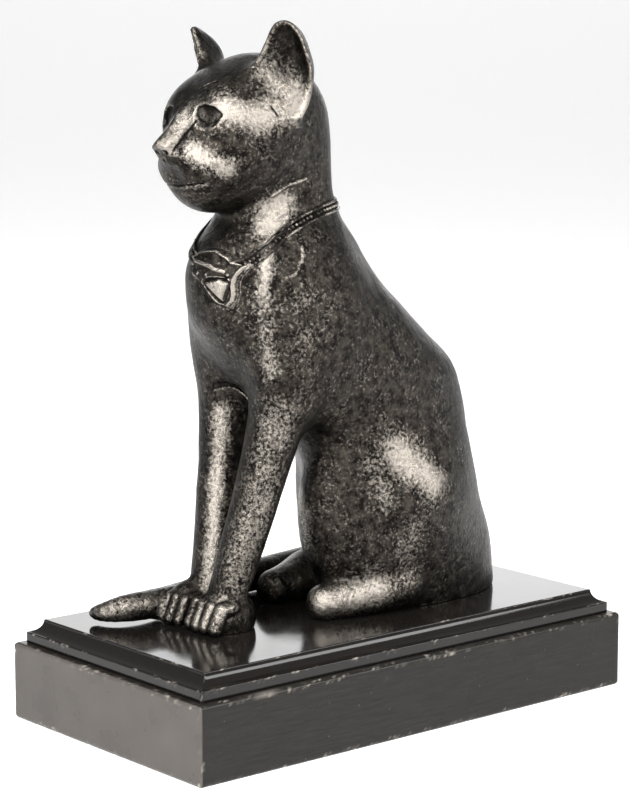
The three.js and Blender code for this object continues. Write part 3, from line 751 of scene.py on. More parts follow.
def bronze_material():
    """Leaded bronze from a lost-wax mould. Its near-black patina is rubbed off the high places by hands.

    The eye sees dark metal with a granular skin. Where it is rubbed and a light shines in it, it is
    nearly white, with dark pits. The rubbed places are also painted highlights, set where the lamps'
    highlights fall. Hollows, creases, the band under the collar and the pendant's rim are painted near
    black as painted shade.
    """
    material, tree, shader, place = new_material("Patinated cast bronze")
    ridge, hollow_shade, wear_and_highlight = [marked(tree, name) for name in ("ridge", "hollow_shade", "wear_and_highlight")]
    clouds = add(tree, "TexNoise", {"Scale": per_mm(14), "Detail": 4, "Roughness": 0.6}, Vector=place)
    patches = add(tree, "TexNoise", {"Scale": per_mm(5), "Detail": 2, "Roughness": 0.5}, Vector=place)
    grain = add(tree, "TexNoise", {"Scale": per_mm(1.8), "Detail": 5, "Roughness": 0.75}, Vector=place)
    pits = add(tree, "TexVoronoi", {"Scale": per_mm(3.2), "Randomness": 1}, Vector=place)
    drawn = add(tree, "Mapping", {"Scale": (1, 1, 0.22), "Rotation": (0.35, 0, 0.3)}, Vector=place)
    fibres = add(tree, "TexNoise", {"Scale": per_mm(1.6), "Detail": 2}, Vector=drawn)
    cloudy = add(tree, "MapRange", {1: 0.35, 2: 0.65, 3: -0.15, 4: 0.15}, Value=clouds)
    # Wear at the listed places also serves as painted highlights. Edge wear on ridges and random clouds add
    # to it.
    worn = add(tree, "Math", {"operation": "ADD"}, _0=wear_and_highlight, _1=ridge)
    worn = add(tree, "Math", {"operation": "ADD"}, _0=worn, _1=cloudy)
    level = add(tree, "Math", {"operation": "MULTIPLY_ADD", 1: 0.34}, _0=worn, _2=grain)
    bright = add(tree, "MapRange", {1: 0.57, 2: 0.8}, Value=level)
    mottle = add(tree, "Math", {"operation": "MULTIPLY_ADD", 1: 0.8}, _0=patches, _2=grain)
    mottle = add(tree, "MapRange", {1: 0.75, 2: 1.1}, Value=mottle)
    patina = add(tree, "Mix", shades("#110f0e", "#3a3631"), Factor=mottle)
    shine = add(tree, "Mix", shades("#8a847c"), Factor=bright, _6=patina)
    # Painted shade: hollows, creases, the band under the collar and the pendant's rim go near black.
    skin = add(tree, "Mix", shades("#161514"), Factor=hollow_shade, _6=shine)
    smooth = add(tree, "MapRange", {3: 0.36, 4: 0.2}, Value=bright)
    rough = add(tree, "Math", {"operation": "MULTIPLY_ADD", 1: 0.3}, _0=hollow_shade, _2=smooth)
    bumps = {}
    for height, depth in ((patches, 0.45), (pits, 0.16), (grain, 0.5), (fibres, 0.18)):
        bumps["Normal"] = add(tree, "Bump", {"Distance": depth * MM}, Height=height, **bumps)
    wire(tree, shader, {"Metallic": 1.0}, Base_Color=skin, Roughness=rough, **bumps)
    return material


def ebonised_material():
    """Close-grained wood, stained black and rubbed to a satin.

    The eye sees a faint level grain, specks of dust, and pale wood on the worn edges. The front and back
    faces are painted a lighter grey: painted light, so that the front face looks lit.
    """
    material, tree, shader, place = new_material("Ebonised satin wood")
    level = add(tree, "Mapping", {"Scale": (0.06, 0.06, 1)}, Vector=place)
    grain = add(tree, "TexNoise", {"Scale": per_mm(0.9), "Detail": 4, "Roughness": 0.65}, Vector=level)
    clouds = add(tree, "TexNoise", {"Scale": per_mm(30), "Detail": 4}, Vector=place)
    dust = add(tree, "TexVoronoi", {"Scale": per_mm(7)}, Vector=place)
    specks = add(tree, "MapRange", {1: 0.05, 2: 0.03, 4: 0.35}, Value=dust)
    wood = add(tree, "Mix", shades("#060606", "#2b2825"), Factor=grain)
    # Painted light: the front and back faces take a lighter grey, so that the front face looks lit.
    ends = add(tree, "Mix", shades("#3c3936", "#54504c"), Factor=clouds)
    wood = add(tree, "Mix", shades(), Factor=marked(tree, "painted_light_ends"), _6=wood, _7=ends)
    wood = add(tree, "Mix", shades("#8d867c"), Factor=specks, _6=wood)
    wood = add(tree, "Mix", shades("#8f887f"), Factor=marked(tree, "worn"), _6=wood)
    rough = add(tree, "MapRange", {1: 0.3, 2: 0.7, 3: 0.24, 4: 0.34}, Value=clouds)
    bump = add(tree, "Bump", {"Distance": 0.05 * MM}, Height=grain)
    wire(tree, shader, {"Specular IOR Level": 0.13}, Base_Color=wood, Roughness=rough, Normal=bump)
    return material


def polished_material():
    """The same black wood under many rubbed coats of shellac.

    The eye sees a dark mirror with a little haze and the odd fine scratch.
    """
    material, tree, shader, place = new_material("French polished black wood")
    haze = add(tree, "TexNoise", {"Scale": per_mm(22), "Detail": 5, "Roughness": 0.6}, Vector=place)
    drawn = add(tree, "Mapping", {"Scale": (1, 0.05, 1)}, Vector=place)
    rubbing = add(tree, "TexNoise", {"Scale": per_mm(1.2), "Detail": 3}, Vector=drawn)
    wood = add(tree, "Mix", shades("#0e0d0c", "#191614"), Factor=rubbing)
    wood = add(tree, "Mix", shades("#8f887f"), Factor=marked(tree, "worn"), _6=wood)
    rough = add(tree, "MapRange", {1: 0.3, 2: 0.7, 3: 0.06, 4: 0.16}, Value=haze)
    bump = add(tree, "Bump", {"Distance": 0.012 * MM}, Height=rubbing)
    wire(tree, shader, {"Specular IOR Level": 0.25}, Base_Color=wood, Roughness=rough, Normal=bump)
    return material


class CatSettings(PropertyGroup):
    skin_step: FloatProperty(
        name="Skin step",
        description="Spacing of the samples of the body's skin",
        default=1.05 * MM,
        unit="LENGTH",
    )
    face_step: FloatProperty(
        name="Face step",
        description="Spacing of the samples of the face's skin",
        default=0.7 * MM,
        unit="LENGTH",
    )
    skin_faces: IntProperty(name="Skin faces", description="Most triangles left on the skin", default=190000)
    swell: FloatProperty(
        name="Swell",
        description="How far the cast skin wanders from its smooth shape",
        default=0.35 * MM,
        unit="LENGTH",
    )
    bead_radius: FloatProperty(
        name="Bead radius", description="Radius of the collar's beads", default=1.25 * MM, unit="LENGTH"
    )
    bead_pitch: FloatProperty(
        name="Bead pitch", description="From one bead to the next", default=2.6 * MM, unit="LENGTH"
    )
    wire_radius: FloatProperty(
        name="Wire radius",
        description="Radius of the two wires beside the beads",
        default=0.85 * MM,
        unit="LENGTH",
    )
    collar_width: FloatProperty(
        name="Collar width", description="Between the two wires' middles", default=5.0 * MM, unit="LENGTH"
    )


def bronze():
    """The one bronze that the cat, its collar and its pendant are cast in."""
    found = bpy.data.materials.get("Patinated cast bronze")
    return found or bronze_material()


# Where hands have rubbed the patina through, which also paints highlights where the lamps' highlights fall:
# how far to each side, how much, and a line of places.
WEAR_AND_HIGHLIGHTS = {
    "temple": (8, 1.0, [(25, -87, 277), (31, -79, 274), (34.6, -69, 273), (36, -57, 275), (37, -48, 278)]),
    "ear root": (8, 0.9, [(37, -50, 282), (31, -59, 294)]),
    "cheek": (5.5, 1.0, [(14, -99, 256), (19, -95.5, 251.5), (25, -87, 246)]),
    "bridge": (5, 1.0, [(5, -92, 276), (4.5, -110, 259)]),
    "neck": (8.5, 1.0, [(22.3, -50, 227), (22.5, -57, 214)]),
    "breast": (3.6, 1.0, [(27, -61, 205), (29.5, -64, 193), (30.5, -67, 181)]),
    "breast low": (5, 0.62, [(30.5, -67, 181), (32.5, -63, 140)]),
    "shoulder": (16, 0.16, [(36, -52, 182), (38, -46, 150)]),
    "belly front": (4.5, 0.85, [(10.3, -25.2, 69), (17, -28, 57), (18, -27, 43), (18, -24.5, 34)]),
    "far foreleg": (5.5, 0.75, [(-14, -60, 112), (-8, -74, 20)]),
    "near foreleg": (11, 0.45, [(30, -56, 118), (18, -74, 30)]),
    "near paw": (8, 0.7, [(18, -85, 14), (10, -93, 8)]),
    "haunch": (10, 1.0, [(46, 14, 90), (48.5, 27, 77), (49, 33, 71)]),
    "thigh front": (6, 0.4, [(44, 0, 86), (46, 4, 62)]),
    "thigh low": (9, 0.35, [(47, 20, 48), (46, 22, 22)]),
    "tail": (9, 0.6, [(-24, -97, 12), (-34, -120, 7)]),
    "near hind foot": (12, 0.9, [(41, 0, 14), (30, -28, 9)]),
    "far hind foot": (11, 1.0, [(-13, 12, 14), (-12, -8, 13)]),
}


def wear_and_highlight_at(points):
    """How far the patina is rubbed through at canon places, from 0 to 1; this also paints highlights there.
    """
    most = np.zeros(len(points))
    for reach, amount, line in WEAR_AND_HIGHLIGHTS.values():
        away = limb([(*place, 0) for place in line])(*points.T)
        most = np.maximum(most, amount * fading(away, reach))
    base = fading(points[:, 2], 1.2) * np.clip(lumps(points, 5, 6) * 3, 0, 1)
    seams = lines_form(SEAMS, 0)(*points.T)
    return np.maximum(np.maximum(most, base), 0.5 * fading(seams, 1.1))


def socket_floor(points):
    """1 on the floors of the two eye sockets, whose skin is made darker."""
    x, z = tilt(points[:, 0], points[:, 2])
    spots = np.stack([np.abs(x), points[:, 1], z], 1) - np.array(EYE)
    depth = spots @ np.array(EYE_OUT)
    inside = outline(EYE_OUTLINE)(spots @ np.array(EYE_ACROSS), spots @ np.array(EYE_UP))
    return ((np.abs(depth) < 6) & (depth < EYE_FLOOR + 0.6) & (inside < 0.6)).astype(float)


# Where the skin's samples start and end along each axis, and the stretch where they are the face's.
SKIN_STRETCHES = [(-72, 62, -26, 26), (-130, 126, -114, -60), (-2, 326, 228, 296)]
# The cast is smoother above the neck, by this share. Its ridges and hollows are looked for this far
# round each point.
NECK_HEIGHT = 215
FACE_EVENNESS = 0.55
RIDGE_REACH = 1.4
HOLLOW_REACH = 1.6


class MakeCat(Operator):
    """Draws the cat's cast skin from its forms, uneven as it came from the mould"""

    bl_idname = "bronze_cat.make_cat"
    bl_label = "Make the cat"

    def execute(self, context):
        settings = context.scene.bronze_cat
        field = cat_form()
        steps = settings.skin_step / MM, settings.face_step / MM
        points, faces = draw_skin(field, [grid_line(*stretch, *steps) for stretch in SKIN_STRETCHES])
        points = settle(field, points, 0.5)
        piece = mesh_object("cat_figure_cast", points, faces, bronze())
        thin = piece.modifiers.new("Thin", "DECIMATE")
        thin.ratio = min(1, settings.skin_faces / (2 * len(faces)))
        plain_mesh(piece)
        points = settle(field, places_of(piece), 0.4)
        mark(piece, "ridge", np.clip(roundness(field, points, RIDGE_REACH) * 0.9 - 0.08, 0, 0.5))
        # Painted shade in the skin's hollows and creases, and a painted shadow on the band under the collar.
        # The eye sockets' floors are made darker too.
        hollow_shade = np.clip(-roundness(field, points, HOLLOW_REACH) * 2.2 - 0.05, 0, 1)
        hollow_shade = np.maximum(hollow_shade, 0.9 * painted_shadow_under_collar(points))
        mark(piece, "hollow_shade", np.maximum(hollow_shade, 0.45 * socket_floor(points)))
        # Worn patina and painted highlights at the listed places.
        mark(piece, "wear_and_highlight", wear_and_highlight_at(points))
        outward = slope(field, points)[1]
        outward /= np.linalg.norm(outward, axis=1, keepdims=True) + 1e-9
        uneven = 0.6 * lumps(points, 13) + 0.4 * lumps(points, 5, 1) - 0.45
        uneven *= 1 - FACE_EVENNESS * np.clip((points[:, 2] - NECK_HEIGHT) / 25, 0, 1)
        points += outward * (uneven * settings.swell / MM)[:, None]
        points[:, 2] = np.maximum(points[:, 2], 0)
        place_points(piece, points)
        keep(piece, "bronze", "cat_figure")
        return {"FINISHED"}


# The collar, by the height of its middle line at each y, from the nape forward to the chest. On the
# cat's right side it is drawn up a little, because the pendant hangs to the left.
COLLAR_HEIGHTS = [
    (-92, 192.5), (-84, 193), (-76, 194.8), (-64, 202.2), (-47, 213.4), (-27, 220.8), (-12, 223), (8, 224),
    (20, 224),
]
COLLAR_DRAWN_UP = 0.32
# The skin is looked for outward from a middle in x and y, between a nearest and a farthest reach. The
# stretch that holds it is halved until it is far finer than a bead.
COLLAR_MIDDLE = (0, -36)
COLLAR_REACH = (5.0, 75.0)
COLLAR_POINTS = 220
HALVINGS = 26


def collar_height(x, y):
    front = np.clip((-30 - y) / 45, 0, 1)
    return run_through(COLLAR_HEIGHTS)(y)[0] + front * COLLAR_DRAWN_UP * np.clip(8 - x, 0, 30)


def painted_shadow_under_collar(points):
    """1 on the band of skin that the collar lies on, for a painted shadow under the collar."""
    x, y, z = points.T
    return np.clip(3.2 - np.abs(z - collar_height(x, y)), 0, 1) * (z > 180) * 0.75


def collar_path(above, lift):
    """A line round the neck, this far above the middle line and off the skin, but sunk under the pendant."""
    body = cat_form()
    turn = np.linspace(0, 2 * math.pi, COLLAR_POINTS, endpoint=False)
    dx, dy = np.sin(turn), -np.cos(turn)
    near, far = [np.full(COLLAR_POINTS, reach) for reach in COLLAR_REACH]

    def spot(reach):
        x, y = COLLAR_MIDDLE[0] + dx * reach, COLLAR_MIDDLE[1] + dy * reach
        return x, y, collar_height(x, y) + above

    for _ in range(HALVINGS):
        middle = (near + far) / 2
        x, y, z = [v.astype(np.float32) for v in spot(middle)]
        sunk = 4 * np.clip((x + 4) / 2, 0, 1) * np.clip((18 - x) / 2, 0, 1) * (y < -60)
        inside = body(x, y, z) < lift + 0.25 * lumps(np.stack([x, y, z], 1), 5, above) - sunk
        near, far = np.where(inside, middle, near), np.where(inside, far, middle)
    return np.stack(spot((near + far) / 2), 1)


def socket_ids(tree):
    return {item.name: item.identifier for item in tree.interface.items_tree if item.item_type == "SOCKET"}


def collar_tree():
    """Nodes that run two wires along closed lines, and set beads along the line between them."""
    tree = bpy.data.node_groups.new("Beaded collar", "GeometryNodeTree")
    tree.interface.new_socket("Geometry", in_out="OUTPUT", socket_type="NodeSocketGeometry")
    for name, kind, value in [
        ("Geometry", "NodeSocketGeometry", None),
        ("Bead radius", "NodeSocketFloat", 0.001),
        ("Bead pitch", "NodeSocketFloat", 0.002),
        ("Wire radius", "NodeSocketFloat", 0.0005),
        ("Unevenness", "NodeSocketFloat", 0.2),
        ("Seed", "NodeSocketInt", 4),
        ("Finish", "NodeSocketMaterial", None),
    ]:
        socket = tree.interface.new_socket(name, in_out="INPUT", socket_type=kind)
        if value is not None:
            socket.default_value = value
    given = add(tree, "NodeGroupInput").outputs
    row = add(tree, "GeometryNodeInputNamedAttribute", {"data_type": "FLOAT", "Name": "beads"})
    parts = add(
        tree, "GeometryNodeSeparateGeometry", {"domain": "POINT"}, Geometry=given["Geometry"], Selection=row
    ).outputs
    bead_line = add(tree, "GeometryNodeMeshToCurve", Mesh=parts["Selection"])
    wire_line = add(tree, "GeometryNodeMeshToCurve", Mesh=parts["Inverted"])
    section = add(tree, "GeometryNodeCurvePrimitiveCircle", {"Resolution": 8}, Radius=given["Wire radius"])
    wires = add(tree, "GeometryNodeCurveToMesh", Curve=wire_line, Profile_Curve=section)
    spots = add(
        tree, "GeometryNodeCurveToPoints", {"mode": "LENGTH"}, Curve=bead_line, Length=given["Bead pitch"]
    ).outputs
    bead = add(tree, "GeometryNodeMeshUVSphere", {"Segments": 8, "Rings": 6}, Radius=given["Bead radius"])
    least = add(tree, "Math", {"operation": "SUBTRACT", 0: 1.0}, _1=given["Unevenness"])
    size = add(tree, "FunctionNodeRandomValue", {"data_type": "FLOAT", 3: 1.0}, _2=least, Seed=given["Seed"])
    beads = add(
        tree,
        "GeometryNodeInstanceOnPoints",
        Points=spots["Points"],
        Instance=bead,
        Rotation=spots["Rotation"],
        Scale=size,
    )
    both = add(tree, "GeometryNodeJoinGeometry", Geometry=wires)
    wire(tree, both, Geometry=beads)
    real = add(tree, "GeometryNodeRealizeInstances", Geometry=both)
    smooth = add(tree, "GeometryNodeSetShadeSmooth", Geometry=real)
    finish = add(tree, "GeometryNodeSetMaterial", Geometry=smooth, Material=given["Finish"])
    add(tree, "NodeGroupOutput", Geometry=finish)
    return tree


class MakeCollar(Operator):
    """Lays a collar of two wires with a row of beads between them round the neck"""

    bl_idname = "bronze_cat.make_collar"
    bl_label = "Make the collar"

    def execute(self, context):
        settings = context.scene.bronze_cat
        half, count = settings.collar_width / MM / 2, COLLAR_POINTS
        # The upper wire, the lower wire and the beads: each line's height and its lift off the skin.
        rows = [(half, 0.45), (-half, 0.4), (0, 0.5)]
        points = np.concatenate([collar_path(above, lift) for above, lift in rows])
        edges = [(k * count + i, k * count + (i + 1) % count) for k in range(3) for i in range(count)]
        mesh = bpy.data.meshes.new("collar")
        mesh.from_pydata(in_metres(points).tolist(), edges, [])
        piece = into_scene("collar", mesh)
        mark(piece, "beads", np.repeat([0, 0, 1], count))
        tree = collar_tree()
        ids = socket_ids(tree)
        nodes = piece.modifiers.new("Beaded collar", "NODES")
        nodes.node_group = tree
        for name, value in {
            "Bead radius": settings.bead_radius,
            "Bead pitch": settings.bead_pitch,
            "Wire radius": settings.wire_radius,
            "Unevenness": 0.45,
            "Seed": 4,
            "Finish": bronze(),
        }.items():
            nodes[ids[name]] = value
        plain_mesh(piece)
        if not piece.data.polygons:
            raise RuntimeError("the collar's nodes gave no faces")
        total = len(piece.data.vertices)
        mark(piece, "ridge", np.full(total, 0.1))
        mark(piece, "hollow_shade", np.zeros(total))
        mark(piece, "wear_and_highlight", np.clip(0.26 + 1.3 * lumps(places_of(piece) / MM, 8, 3), 0, 0.9))
        keep(piece, "bronze")
        return {"FINISHED"}


# The pendant, by places in x and z on the chest. Its thickness is worked out above the skin. A boss
# has a place and a radius.
PENDANT_BAND = [
    (-7.5, 198.4), (-1.8, 201.4), (4, 202.7), (9, 203.2), (16, 200), (20, 197), (19, 190), (-3, 189),
    (-5, 191),
]
PENDANT_DROP = [
    (-3.5, 194), (-4.5, 190), (0, 187.5), (4.5, 184.3), (9, 179), (12, 175.8), (15, 174.2), (19, 173.8),
    (21.8, 177), (22.6, 181), (22.3, 186), (23, 190), (25.5, 195.5), (20, 197.5),
]
PENDANT_TONGUE = [(7.2, 185.8), (14.6, 187.6), (18.4, 185.9), (15.8, 177.8)]
PENDANT_ARCH = [(-6.5, 198.4), (-1.8, 201), (4, 202.2), (9, 202.7), (15.8, 199.9), (19.8, 197.3)]
PENDANT_WAVE = [(-3.4, 196.8), (3.4, 195.9), (9.2, 194.8), (12, 193.4), (17.2, 192.4)]
PENDANT_LIP = [
    (25, 195.6), (22.9, 191.6), (21.8, 188.5), (21.6, 184.9), (21.8, 180.4), (21.2, 177.3), (18.9, 174.4),
]
PENDANT_BOSSES = [
    (1.3, 190.6, 1.2), (7.7, 190.2, 1.5), (19.4, 195.9, 2.0), (19.2, 190.6, 0.9), (19.5, 188, 0.9),
    (19.9, 185, 0.8),
]
PENDANT_STEP = 0.36
PENDANT_STRETCHES = [(-15, 27), (-94, -66), (168, 208)]


def pendant_form():
    chest = cat_form()
    band, drop, tongue = outline(PENDANT_BAND), outline(PENDANT_DROP), outline(PENDANT_TONGUE)

    def height(u, v):
        """How far the pendant stands above the skin."""
        plate = soften(band(u, v), drop(u, v), 2)
        rise = np.clip(-plate / 0.8, 0, 1)
        rise += 0.8 * fading(line_gap(PENDANT_ARCH, u, v), 0.9)
        rise += 1.2 * fading(line_gap(PENDANT_WAVE, u, v), 0.9 + 0.04 * np.clip(u + 4, 0, 20))
        rise += 1.3 * fading(line_gap(PENDANT_LIP, u, v), 1.1)
        for a, b, wide in PENDANT_BOSSES:
            rise += 0.9 * np.exp(-(((u - a) ** 2 + (v - b) ** 2) / wide**2))
        rise += np.clip(0.4 - tongue(u, v), 0, 1)
        gutter = 1 - np.clip(np.abs(tongue(u, v) - 1.5) / 1.2, 0, 1)
        return rise - gutter * (v < 189)

    def form(x, y, z):
        near = soften(band(x, z), drop(x, z), 2) - 0.9
        skin = chest(x, y, z)
        return np.maximum(np.maximum(skin - height(x, z), near) * 0.75, -1.2 - skin)

    return form


class MakePendant(Operator):
    """Draws the pendant that hangs from the collar on the chest"""

    bl_idname = "bronze_cat.make_pendant"
    bl_label = "Make the pendant"

    def execute(self, context):
        field = pendant_form()
        steps = PENDANT_STEP, PENDANT_STEP
        lines = [grid_line(low, high, low, high, *steps) for low, high in PENDANT_STRETCHES]
        points, faces = draw_skin(field, lines)
        piece = mesh_object("pendant", points, faces, bronze())
        bend = roundness(field, points, 0.6)
        mark(piece, "ridge", np.clip(bend * 0.3, 0, 0.6))
        u, v = points[:, 0], points[:, 2]
        # Painted shade in the pendant's hollows, and a painted shadow along the lower left of the drop's rim.
        shadowed_rim = np.abs(outline(PENDANT_DROP)(u, v)) < 1
        mark(piece, "hollow_shade", np.maximum(np.clip(-bend * 0.5, 0, 1), 0.9 * (shadowed_rim & (v < 187) & (u < 17))))
        # Wear and painted highlights on the proud tongue, lip and wave, and on the ridges.
        proud = (outline(PENDANT_TONGUE)(u, v) < 0.5) | (line_gap(PENDANT_LIP, u, v) < 1.1)
        proud |= line_gap(PENDANT_WAVE, u, v) < 0.9
        mark(piece, "wear_and_highlight", np.clip(0.9 * proud + bend * 0.4, 0, 1))
        place_points(piece, points)
        keep(piece, "bronze")
        return {"FINISHED"}


class PlinthSettings(PropertyGroup):
    chip_depth: FloatProperty(
        name="Chip depth", description="Deepest chip out of an edge", default=0.9 * MM, unit="LENGTH"
    )
    corner_radius: FloatProperty(
        name="Corner radius", description="Rounding of the upright corners", default=1.6 * MM, unit="LENGTH"
    )
    point_spacing: FloatProperty(
        name="Point spacing", description="Between points along the sides", default=1.6 * MM, unit="LENGTH"
    )


# Profiles of the plinth in millimetres: height above the piece's underside, how far in from its side,
# and how much of an edge it is, which is where it chips and wears.
BLOCK_EDGE = 2.0
BOARD_SIDE = 6.0
COVE_WIDTH = 7.2
COVE_HEIGHT = 7.0
QUARTER = math.pi / 2
CORNERS = np.array([(1, -1), (1, 1), (-1, 1), (-1, -1)])
CORNER_POINTS = 5
CORNER_WEAR = 0.9
# How far in from a side its chips still pull inward, and how deep the top edge and the painted lighter band
# on the front and back faces go.
CHIP_REACH = 12
TOP_EDGE = 2.2
END_DEPTH = 1.2


def block_profile(height):
    turns = [(1 - math.sin(turn), 1 - math.cos(turn)) for turn in np.linspace(0, QUARTER, 5)]
    low = [(BLOCK_EDGE * fall, BLOCK_EDGE * inset, 1) for fall, inset in reversed(turns)]
    side = [(z, 0, 0) for z in np.linspace(BLOCK_EDGE + 1.2, height - BLOCK_EDGE - 1.2, 24)]
    high = [(height - BLOCK_EDGE * fall, BLOCK_EDGE * inset, 1) for fall, inset in turns]
    ledge = [(height, BLOCK_EDGE + 0.5, 0.4), (height, 4, 0), (height, 6.5, 0), (height, 9, 0)]
    return [(0, 4, 0)] + low + side + high + ledge


def board_profile():
    side = [(0, 3, 0), (0, 0.3, 0), (0.3, 0, 0), (1.5, 0, 0), (3, 0, 0), (BOARD_SIDE - 1.2, 0, 0.3)]
    side += [(BOARD_SIDE - 0.5, 0, 1), (BOARD_SIDE - 0.1, 0.15, 1), (BOARD_SIDE, 0.5, 1)]
    side += [(BOARD_SIDE + 0.02, 1, 0.2)]
    turns = [i / 15 * QUARTER for i in range(2, 15)]
    cove = [(BOARD_SIDE + COVE_HEIGHT * (1 - math.cos(a)), COVE_WIDTH * math.sin(a), 0) for a in turns]
    top = BOARD_SIDE + COVE_HEIGHT
    edge = [(top - 0.5, COVE_WIDTH, 1), (top - 0.12, COVE_WIDTH + 0.12, 1), (top, COVE_WIDTH + 0.5, 1)]
    return side + cove + edge + [(top, COVE_WIDTH + extra, 0) for extra in (0.9, 2, 5)]


def plinth_ring(half, inset, radius, spacing):
    """One level of places round the plinth, and for each whether it is on a rounded corner."""
    turn = max(radius - inset * 0.4, 0.4)
    pivots = (half - inset - turn) * CORNERS
    spots, at_corner = [], []
    for k in range(4):
        angles = (k - 1 + np.linspace(0, 1, CORNER_POINTS)) * QUARTER
        arc = pivots[k] + turn * np.stack([np.cos(angles), np.sin(angles)], 1)
        steps = int(2 * half[(k + 1) % 2] / spacing)
        share = np.arange(1, steps)[:, None] / steps
        side = pivots[k] * (1 - share) + pivots[(k + 1) % 4] * share + (arc[-1] - pivots[k])
        spots += [arc, side]
        at_corner += [True] * len(arc) + [False] * len(side)
    return np.concatenate(spots), np.array(at_corner)


def plinth_piece(name, low, high, profile, settings, material, seed, chipping):
    """Rings of points round the plinth, one for each level of the profile, closed above and below."""
    half = np.array([high.x - low.x, high.y - low.y]) / 2 / MM
    centre = np.array([high.x + low.x, high.y + low.y]) / 2 / MM
    rings, edges = [], []
    for z, inset, edge in profile:
        spots, at_corner = plinth_ring(half, inset, settings.corner_radius / MM, settings.point_spacing / MM)
        rings.append(np.column_stack([centre + spots, np.full(len(spots), z)]))
        edges.append(np.where(at_corner, max(edge, CORNER_WEAR) if edge or inset < 0.5 else 0, edge))
    points, edges = np.concatenate(rings), np.concatenate(edges)
    count, base = len(rings[0]), len(points)
    last = base - count
    faces = []
    for start in range(0, last, count):
        for i in range(count):
            a, b = start + i, start + (i + 1) % count
            faces.append((a, b, b + count, a + count))
    faces += [(base, (i + 1) % count, i) for i in range(count)]
    faces += [(base + 1, last + i, last + (i + 1) % count) for i in range(count)]
    loss = np.clip(lumps(points, 3.2, seed) - 0.42, 0, 1)
    loss += 0.4 * np.clip(lumps(points, 11, seed + 1) - 0.35, 0, 1)
    loss *= edges * chipping
    inward = centre - points[:, :2]
    pull = np.sign(inward) * (np.abs(inward) > half - CHIP_REACH)
    moved = points.copy()
    moved[:, :2] += pull * (loss * settings.chip_depth / MM)[:, None]
    top = points[:, 2] > profile[-1][0] - TOP_EDGE
    moved[:, 2] -= np.where(top & (edges > 0), loss * 0.6 * settings.chip_depth / MM, 0)
    middles = np.array([[*centre, profile[0][0]], [*centre, profile[-1][0]]])
    spots = np.concatenate([moved, middles]) * MM + np.array([0, 0, low.z])
    piece = mesh_object(name, spots, faces, material)
    worn = edges * np.clip(lumps(points, 1.6, seed + 2) * 1.5 + lumps(points, 7, seed + 3) - 0.55, 0, 1)
    mark(piece, "worn", np.concatenate([np.clip(worn + loss, 0, 1), [0, 0]]))
    # The front and back faces are marked for their painted lighter grey.
    mark(piece, "painted_light_ends", np.concatenate([np.abs(inward[:, 1]) > half[1] - END_DEPTH, [0, 0]]))
    return piece


class MakePlinth(Operator):
    """Makes the plinth's block and the moulded board on it, with chipped and worn edges"""

    bl_idname = "bronze_cat.make_plinth"
    bl_label = "Make the plinth"

    def execute(self, context):
        settings = context.scene.bronze_cat_plinth
        profile = block_profile((BLOCK_HIGH.z - BLOCK_LOW.z) / MM)
        block = plinth_piece(
            "plinth_block_wood", BLOCK_LOW, BLOCK_HIGH, profile, settings, ebonised_material(), 3, 1.0
        )
        keep(block, "ebonised_wood", "plinth_block")
        profile = board_profile()
        board = plinth_piece(
            "plinth_board_wood", BOARD_LOW, BOARD_HIGH, profile, settings, polished_material(), 8, 0.25
        )
        keep(board, "polished_wood", "plinth_board")
        return {"FINISHED"}


# Stage: where the camera stands, and the floor and lights.
CAMERA_PLACE = (1.0570, -0.8949, 0.3971)
CAMERA_FORWARD = (-0.7553, 0.6350, -0.1623)
CAMERA_LENS = 115.63
LIGHTS_AIM = Vector((0, 0, 0.22))
FLOOR_SIZE = 120
FLOOR_GLOW = 0.41
# The level way from the camera to the backdrop.
BACKDROP_WAY = (-0.766, 0.643, 0.0)
# Soft boxes: name, degrees round from the front to the cat's left, degrees up, distance, width,
# height, and brightness.
SOFT_BOXES = [
    ("Front soft box", 24, 30, 1.6, 0.8, 1.9, 10.0),
    ("Side soft box", 117, 17, 1.6, 1.15, 0.55, 12.0),
    ("Camera soft box", 64, 28, 1.8, 0.5, 0.6, 9.0),
    ("Rear soft box", 172, 18, 2.0, 0.3, 1.0, 1.8),
    ("Top soft box", 30, 68, 1.5, 0.85, 0.6, 8.0),
]


def stage_camera():
    data = bpy.data.cameras.new("Camera")
    data.lens = CAMERA_LENS
    data.clip_end = 200
    camera = into_scene("Camera", data)
    camera.location = CAMERA_PLACE
    camera.rotation_euler = Vector(CAMERA_FORWARD).to_track_quat("-Z", "Y").to_euler()
    bpy.context.scene.camera = camera


def soft_box(name, around, up, distance, width, height, brightness):
    data = bpy.data.lights.new(name, "AREA")
    data.shape = "RECTANGLE"
    data.size, data.size_y = width, height
    data.energy = brightness * math.pi * width * height
    light = into_scene(name, data)
    around, up = math.radians(around), math.radians(up)
    toward = Vector((math.sin(around) * math.cos(up), -math.cos(around) * math.cos(up), math.sin(up)))
    light.location = LIGHTS_AIM + toward * distance
    light.rotation_euler = (-toward).to_track_quat("-Z", "Y").to_euler()
    light.visible_camera = False


def studio_world():
    """A white backdrop to the camera. In reflections the room is pale behind the cat and dim in front."""
    world = bpy.data.worlds.new("Studio")
    world.use_nodes = True
    tree = world.node_tree
    way = add(tree, "TexCoord").outputs["Generated"]
    toward = add(tree, "VectorMath", {"operation": "DOT_PRODUCT", 1: BACKDROP_WAY}, _0=way)
    glow = add(tree, "MapRange", {1: 0.86, 2: 0.99, 3: 0.4, 4: 4.4}, Value=toward)
    room = add(tree, "Background", Strength=glow)
    paper = add(tree, "Background", {"Color": linear("#f8f8f8"), "Strength": 1.0})
    seen = add(tree, "LightPath").outputs["Is Camera Ray"]
    both = add(tree, "MixShader", _0=seen, _1=room, _2=paper)
    wire(tree, tree.nodes["World Output"], Surface=both)
    bpy.context.scene.world = world


class StageSettings(PropertyGroup):
    floor_colour: FloatVectorProperty(
        name="Floor colour",
        description="Colour of the paper floor",
        default=linear("#f2f2f2")[:3],
        subtype="COLOR",
        min=0,
        max=1,
    )


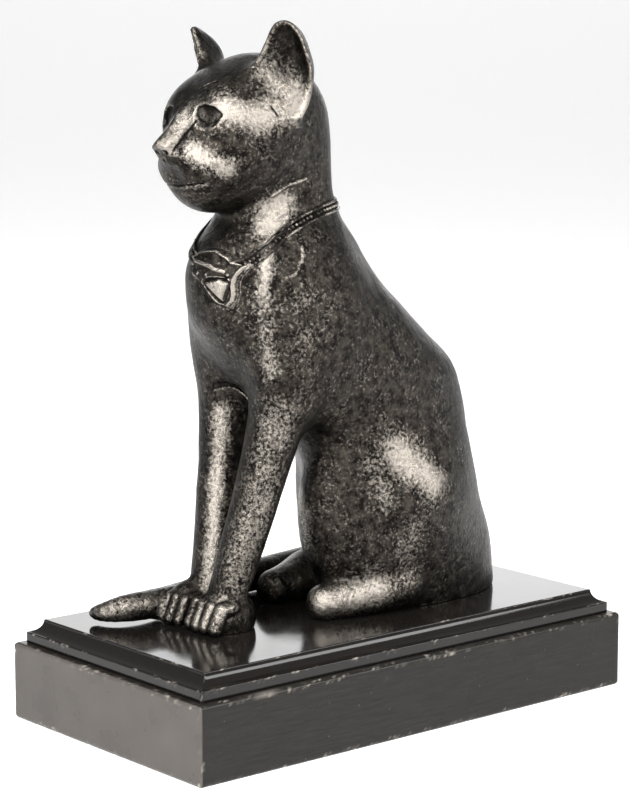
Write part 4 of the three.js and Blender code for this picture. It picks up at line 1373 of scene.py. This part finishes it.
class MakeStage(Operator):
    """Sets the floor, the lights and the camera"""

    bl_idname = "bronze_cat.make_stage"
    bl_label = "Make the stage"

    def execute(self, context):
        stage_camera()
        bpy.ops.mesh.primitive_plane_add(size=FLOOR_SIZE)
        floor = context.object
        floor.name = "floor"
        paint = bpy.data.materials.new("Paper floor")
        paint.use_nodes = True
        settings = {"Base Color": [*context.scene.bronze_cat_stage.floor_colour, 1], "Roughness": 0.6}
        settings |= {"Emission Color": linear("#ffffff"), "Emission Strength": FLOOR_GLOW}
        wire(paint.node_tree, paint.node_tree.nodes["Principled BSDF"], settings)
        floor.data.materials.append(paint)
        floor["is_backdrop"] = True
        for box in SOFT_BOXES:
            soft_box(*box)
        studio_world()
        context.scene.view_settings.view_transform = "Standard"
        return {"FINISHED"}


class BronzeCatPanel(Panel):
    """Lists what the add-on makes"""

    bl_idname = "VIEW3D_PT_bronze_cat"
    bl_label = "Bronze Cat"
    bl_space_type = "VIEW_3D"
    bl_region_type = "UI"
    bl_category = "Bronze Cat"

    def draw(self, context):
        for operator in OPERATORS:
            self.layout.operator(operator.bl_idname)


SETTINGS = {"bronze_cat": CatSettings, "bronze_cat_plinth": PlinthSettings, "bronze_cat_stage": StageSettings}
OPERATORS = (MakeCat, MakeCollar, MakePendant, MakePlinth, MakeStage)
CLASSES = (*SETTINGS.values(), *OPERATORS, BronzeCatPanel)


def register():
    for cls in CLASSES:
        bpy.utils.register_class(cls)
    for name, group in SETTINGS.items():
        setattr(bpy.types.Scene, name, PointerProperty(type=group))


def unregister():
    for name in SETTINGS:
        delattr(bpy.types.Scene, name)
    for cls in reversed(CLASSES):
        bpy.utils.unregister_class(cls)


def main():
    register()
    bpy.ops.bronze_cat.make_cat()
    bpy.ops.bronze_cat.make_collar()
    bpy.ops.bronze_cat.make_pendant()
    bpy.ops.bronze_cat.make_plinth()
    bpy.ops.bronze_cat.make_stage()
    boxes = {"cad": CAD_BOX, "visual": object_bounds()}
    {name: [list(low), list(high)] for name, (low, high) in boxes.items()}


if __name__ == "__main__":
    main()
